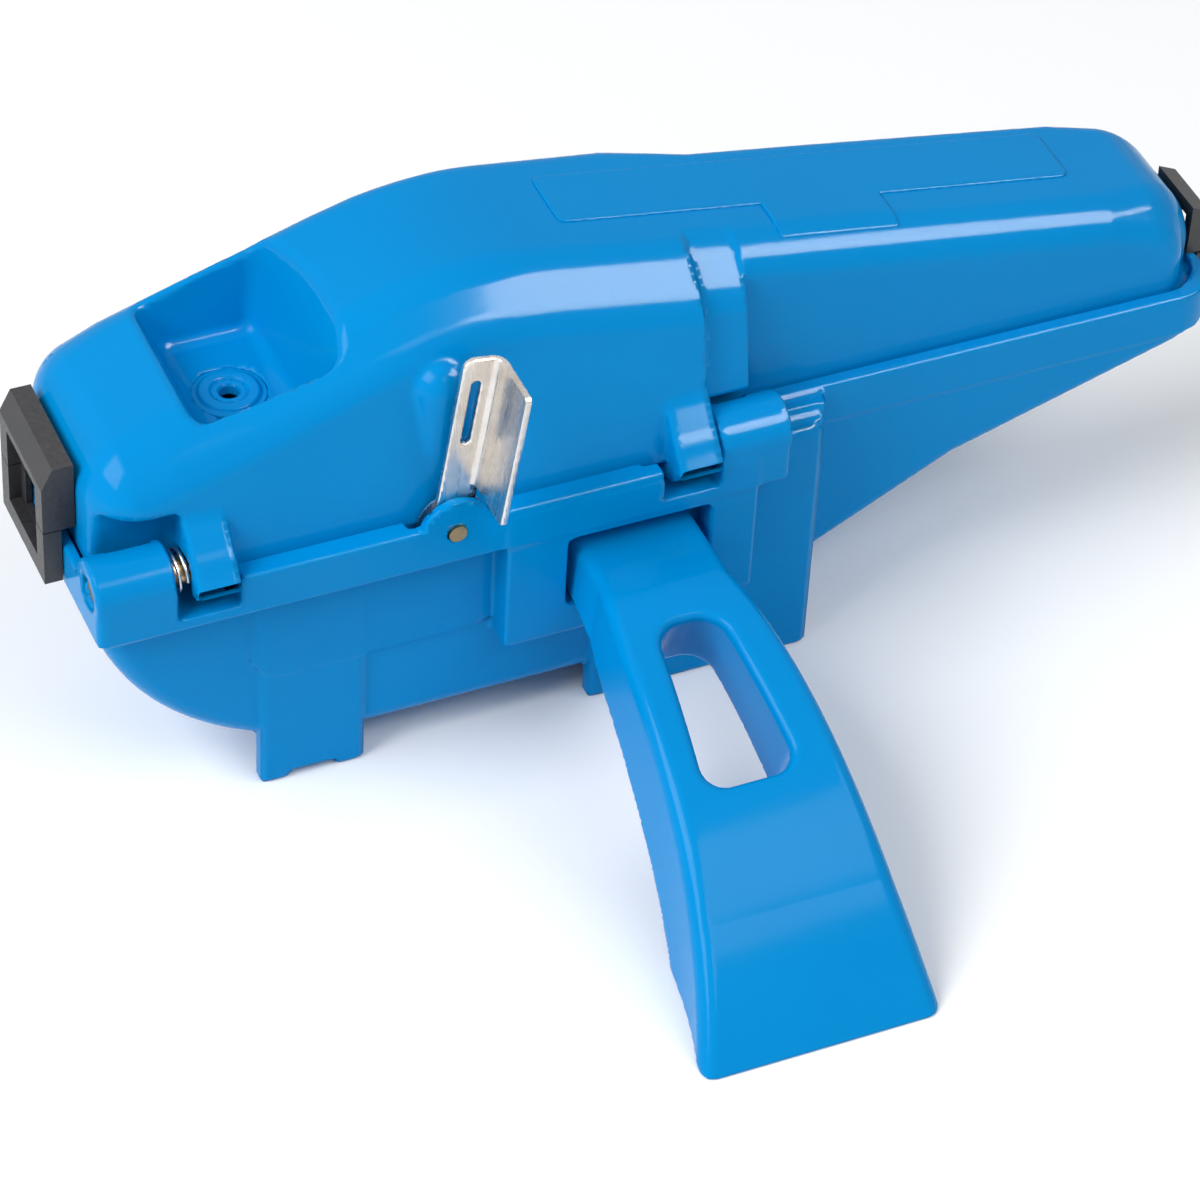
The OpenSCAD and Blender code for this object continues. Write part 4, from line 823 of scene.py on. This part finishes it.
# Each by the record's material slot: its two colours, its roughness and its grain
FINISHES = {
    "blue_plastic": (glossy_plastic, "gloss_blue", (0.0, 0.228, 0.56), (0.0, 0.212, 0.53), 0.10, 0.15),
    "black_plastic": (satin_plastic, "satin_black", (0.018, 0.018, 0.02), (0.03, 0.03, 0.033), 0.38, 0.5),
    "grey_plastic": (satin_plastic, "satin_grey", (0.62, 0.64, 0.66), (0.55, 0.57, 0.59), 0.4, 0.5),
    "sheet_steel": (metal, "rolled_steel", (0.80, 0.77, 0.73), (0.62, 0.57, 0.52), 0.26, (1.0, 1.0, 0.06)),
    "steel": (metal, "turned_steel", (0.66, 0.66, 0.66), (0.5, 0.5, 0.5), 0.3, (1.0, 0.05, 1.0)),
    "spring_steel": (metal, "drawn_wire", (0.72, 0.70, 0.66), (0.55, 0.53, 0.5), 0.24, (0.1, 1.0, 1.0)),
    "brass": (metal, "turned_brass", (0.60, 0.40, 0.20), (0.40, 0.25, 0.12), 0.32, (0.05, 1.0, 1.0)),
    "magnet_plating": (metal, "nickel_plate", (0.72, 0.73, 0.74), (0.6, 0.61, 0.62), 0.18, (1.0, 1.0, 1.0)),
    "nylon": (satin_plastic, "nylon", (0.84, 0.84, 0.79), (0.70, 0.70, 0.64), 0.35, 0.5, 300.0),
    "foam": (satin_plastic, "open_foam", (0.045, 0.048, 0.055), (0.015, 0.016, 0.02), 0.85, 0.98, 700.0, 0.9),
}
MATERIALS = {slot: make(*values) for slot, (make, *values) in FINISHES.items()}

for row in frame["record"]["subparts"]:
    node = NODES[row["node"]]
    node.data.materials.clear()
    node.data.materials.append(MATERIALS[row["material_slot"]])

# Moulded and bent pieces: field, lowest and highest corner, grid step, body, CAD node and slot
PIECES = {
    "cover_shell": (cover_field, (-1, -37, -9), (264, 45, 50), 1.25, "cover", "cover", "blue_plastic"),
    "bare_panel": (bare_panel_field, (110, -14, 20), (234, 16, 48), 0.5, "cover", "cover", "blue_plastic"),
    "filler_plug": (filler_ring_field, (31, -9, 15), (50, 9, 21), 0.4, "cover", "cover", "blue_plastic"),
    "bath_shell": (reservoir_field, (-2, -37, -69), (265, 45, 9), 1.25, "base", "reservoir", "blue_plastic"),
    "handle_bar": (handle_field, (84, -145, -69), (149, -26, -14), 0.9, "base", "handle", "blue_plastic"),
    "latch_sheet": (lever_field, (70, -48, -9), (90, -30, 43), 0.4, "latch", "latch_lever", "sheet_steel"),
}
for name, (field, low, high, step, body, stands_for, slot) in PIECES.items():
    moulded(name, field, (low, high), step, MATERIALS[slot], body, stands_for, slot)

# Brushes, in metres: tufts of strands that stand out from the core
BRUSHES, FIRST_SEED = 4, 41
STRAND_ROWS, STRANDS_AROUND, STRAND_SIDES = 15, 34, 3
STRAND_ROOT, STRAND_W, STRAND_TAPER = 0.0066, 0.00062, 0.55
TURN_SCATTER, ROW_SCATTER, LEAN_SCATTER = 0.16, 0.2, 0.0006
SHORTER_BY = (0.0001, 0.0005)


def strand(start, out, turn, lean, tip, outer):
    """The corner points of one strand: three at its root, then three at its tip."""
    points = []
    for distance, thick in ((STRAND_ROOT, STRAND_W), (tip, STRAND_W * STRAND_TAPER)):
        share = (distance - STRAND_ROOT) / (outer - STRAND_ROOT)
        base = start + out * distance + lean * share
        for k in range(STRAND_SIDES):
            bend = 2 * math.pi * k / STRAND_SIDES
            points.append(base + (turn * math.cos(bend) + Vector((0, math.sin(bend), 0))) * thick)
    return points


def nylon_brush(number, seed):
    low, high = [Vector(c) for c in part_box("brush_bristles_%d" % number)]
    centre, length = (low + high) / 2, high.y - low.y
    outer = (high.z - low.z) / 2
    rnd = random.Random(seed)
    points, faces = [], []
    for row in range(STRAND_ROWS):
        for place in range(STRANDS_AROUND):
            shifted = place + 0.5 * (row % 2) + rnd.uniform(-TURN_SCATTER, TURN_SCATTER)
            angle = 2 * math.pi * shifted / STRANDS_AROUND
            row_place = row + 0.5 + rnd.uniform(-ROW_SCATTER, ROW_SCATTER)
            along = centre.y - length / 2 + length * row_place / STRAND_ROWS
            out = Vector((math.cos(angle), 0, math.sin(angle)))
            turn = Vector((-math.sin(angle), 0, math.cos(angle)))
            lean = turn * rnd.uniform(-LEAN_SCATTER, LEAN_SCATTER)
            tip = outer - rnd.uniform(*SHORTER_BY)
            a = len(points)
            points += strand(Vector((centre.x, along, centre.z)), out, turn, lean, tip, outer)
            faces += [(a, a + 1, a + 4, a + 3), (a + 1, a + 2, a + 5, a + 4), (a + 2, a, a + 3, a + 5)]
            faces += [(a + 2, a + 1, a), (a + 3, a + 4, a + 5)]
    mesh = bpy.data.meshes.new("strands_%d" % number)
    mesh.from_pydata(points, [], faces)
    mesh.materials.append(MATERIALS["nylon"])
    add_piece(mesh, mesh.name, "brush_%d" % number, "brush_bristles_%d" % number, "nylon")


for index in range(BRUSHES):
    nylon_brush(index + 1, FIRST_SEED + index)

# Wiper pads: foam blocks with soft edges
PAD_BODIES = {"wiper_pad_lower": "base", "wiper_pad_upper": "cover"}
PAD_ROUND, PAD_CROWN, PAD_STEP, PAD_MARGIN = 1.4, 0.25, 0.5, 1


def foam_field(low, high):
    def field(x, y, z):
        crown = PAD_CROWN * np.cos(math.pi * (x - low[0]) / (high[0] - low[0]) * 2)
        return block(x, y, z, low, high, PAD_ROUND) + PAD_CROWN + crown * 0.5
    return field


for name, body in PAD_BODIES.items():
    low, high = [[c / MM - shift for c, shift in zip(corner, SHIFT)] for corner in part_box(name)]
    span = [c - PAD_MARGIN for c in low], [c + PAD_MARGIN for c in high]
    pad = foam_field(low, high)
    moulded(name + "_foam", pad, span, PAD_STEP, MATERIALS["foam"], body, name, "foam")

# Catch spring: one wire wound round the left catch pin
SPRING_TURNS, SPRING_STEPS, WIRE_SIDES = 1.5, 120, 12
WIRE_R, COIL_R = 0.4, 4.4
SPRING_START, SPRING_END = 17.1, 20.4


def wound_spring():
    rise = SPRING_END - SPRING_START - 2 * WIRE_R
    points, faces = [], []
    for i in range(SPRING_STEPS + 1):
        angle = 2 * math.pi * SPRING_TURNS * i / SPRING_STEPS
        x = SPRING_START + WIRE_R + rise * i / SPRING_STEPS
        for k in range(WIRE_SIDES):
            a = 2 * math.pi * k / WIRE_SIDES
            r = COIL_R + WIRE_R * math.cos(a)
            points.append(at(x + WIRE_R * math.sin(a), CATCH_Y + r * math.cos(angle), r * math.sin(angle)))
    for i in range(SPRING_STEPS):
        for k in range(WIRE_SIDES):
            a, b = i * WIRE_SIDES + k, i * WIRE_SIDES + (k + 1) % WIRE_SIDES
            faces.append((a, b, b + WIRE_SIDES, a + WIRE_SIDES))
    faces.append(tuple(range(WIRE_SIDES - 1, -1, -1)))
    faces.append(tuple(SPRING_STEPS * WIRE_SIDES + k for k in range(WIRE_SIDES)))
    mesh = bpy.data.meshes.new("wound_spring")
    mesh.from_pydata(points, [], faces)
    mesh.polygons.foreach_set("use_smooth", [True] * len(mesh.polygons))
    mesh.materials.append(MATERIALS["spring_steel"])
    add_piece(mesh, mesh.name, "base", "catch_spring", "spring_steel")


wound_spring()

# Stage, in metres
FLOOR_REACH = 6.0
FLOOR_COLOR, FLOOR_ROUGHNESS, FLOOR_GLOSS = (0.93, 0.93, 0.93, 1), 0.9, 0.0
AIM = (0, 0, 0.06)
SEEN_BY_CAMERA = {"Color": (1, 1, 1, 1), "Strength": 1.0}
SEEN_IN_GLOSS = {"Color": (1, 1, 1, 1), "Strength": 0.75}
SOFT_LIGHT = {"Color": (0.95, 0.98, 1, 1), "Strength": 0.42}
# Direction from the aim, distance, width, height and power in watts
KEY = (0.32, -0.55, 0.77), 1.3, 1.1, 0.34, 6.0
SOFTBOX = (0.55, -0.43, 0.72), 1.3, 1.1, 0.52, 74.0
FILL = (-0.72, -0.12, 0.68), 1.6, 0.9, 0.9, 23.0


def make_stage():
    mesh = bpy.data.meshes.new("floor")
    reach = FLOOR_REACH
    corners = [(-reach, -reach, 0), (reach, -reach, 0), (reach, reach, 0), (-reach, reach, 0)]
    mesh.from_pydata(corners, [], [(0, 1, 2, 3)])
    floor = bpy.data.objects.new("floor", mesh)
    bpy.context.scene.collection.objects.link(floor)
    material, _, shader = nodes_of("pale_floor")
    shader.inputs["Base Color"].default_value = FLOOR_COLOR
    shader.inputs["Roughness"].default_value = FLOOR_ROUGHNESS
    shader.inputs["Specular IOR Level"].default_value = FLOOR_GLOSS
    mesh.materials.append(material)


def area_light(name, direction, distance, width, height, power):
    data = bpy.data.lights.new(name, "AREA")
    data.shape = "RECTANGLE"
    data.size, data.size_y = width, height
    data.energy = power
    lamp = bpy.data.objects.new(name, data)
    bpy.context.scene.collection.objects.link(lamp)
    way = Vector(direction).normalized()
    lamp.location = Vector(AIM) + way * distance
    lamp.rotation_mode = "QUATERNION"
    lamp.rotation_quaternion = way.to_track_quat("Z", "Y")
    return lamp


def make_softbox():
    """A lamp seen only in gloss, whose reflection the handle's broad top doesn't take."""
    lamp = area_light("softbox", *SOFTBOX)
    lamp.visible_diffuse = False
    skipped = bpy.data.collections.new("softbox_skips")
    skipped.objects.link(bpy.data.objects["handle_bar"])
    skipped.collection_objects[0].light_linking.link_state = "EXCLUDE"
    lamp.light_linking.receiver_collection = skipped


def chosen(tree, choice, otherwise, shown):
    """One shader for the rays that choice names and another for the rest."""
    mix = tree.nodes.new("ShaderNodeMixShader")
    tree.links.new(choice, mix.inputs["Fac"])
    tree.links.new(otherwise.outputs[0], mix.inputs[1])
    tree.links.new(shown.outputs[0], mix.inputs[2])
    return mix


def make_world():
    world = bpy.data.worlds.new("studio")
    bpy.context.scene.world = world
    world.use_nodes = True
    tree = world.node_tree
    tree.nodes.clear()
    path = tree.nodes.new("ShaderNodeLightPath")
    shown = add(tree, "ShaderNodeBackground", **SEEN_BY_CAMERA)
    gloss = add(tree, "ShaderNodeBackground", **SEEN_IN_GLOSS)
    soft = add(tree, "ShaderNodeBackground", **SOFT_LIGHT)
    unseen = chosen(tree, path.outputs["Is Glossy Ray"], soft, gloss)
    whole = chosen(tree, path.outputs["Is Camera Ray"], unseen, shown)
    out = tree.nodes.new("ShaderNodeOutputWorld")
    tree.links.new(whole.outputs[0], out.inputs["Surface"])


make_stage()
make_world()
area_light("key", *KEY)
make_softbox()
area_light("fill", *FILL)

bpy.context.scene.view_settings.view_transform = "Standard"
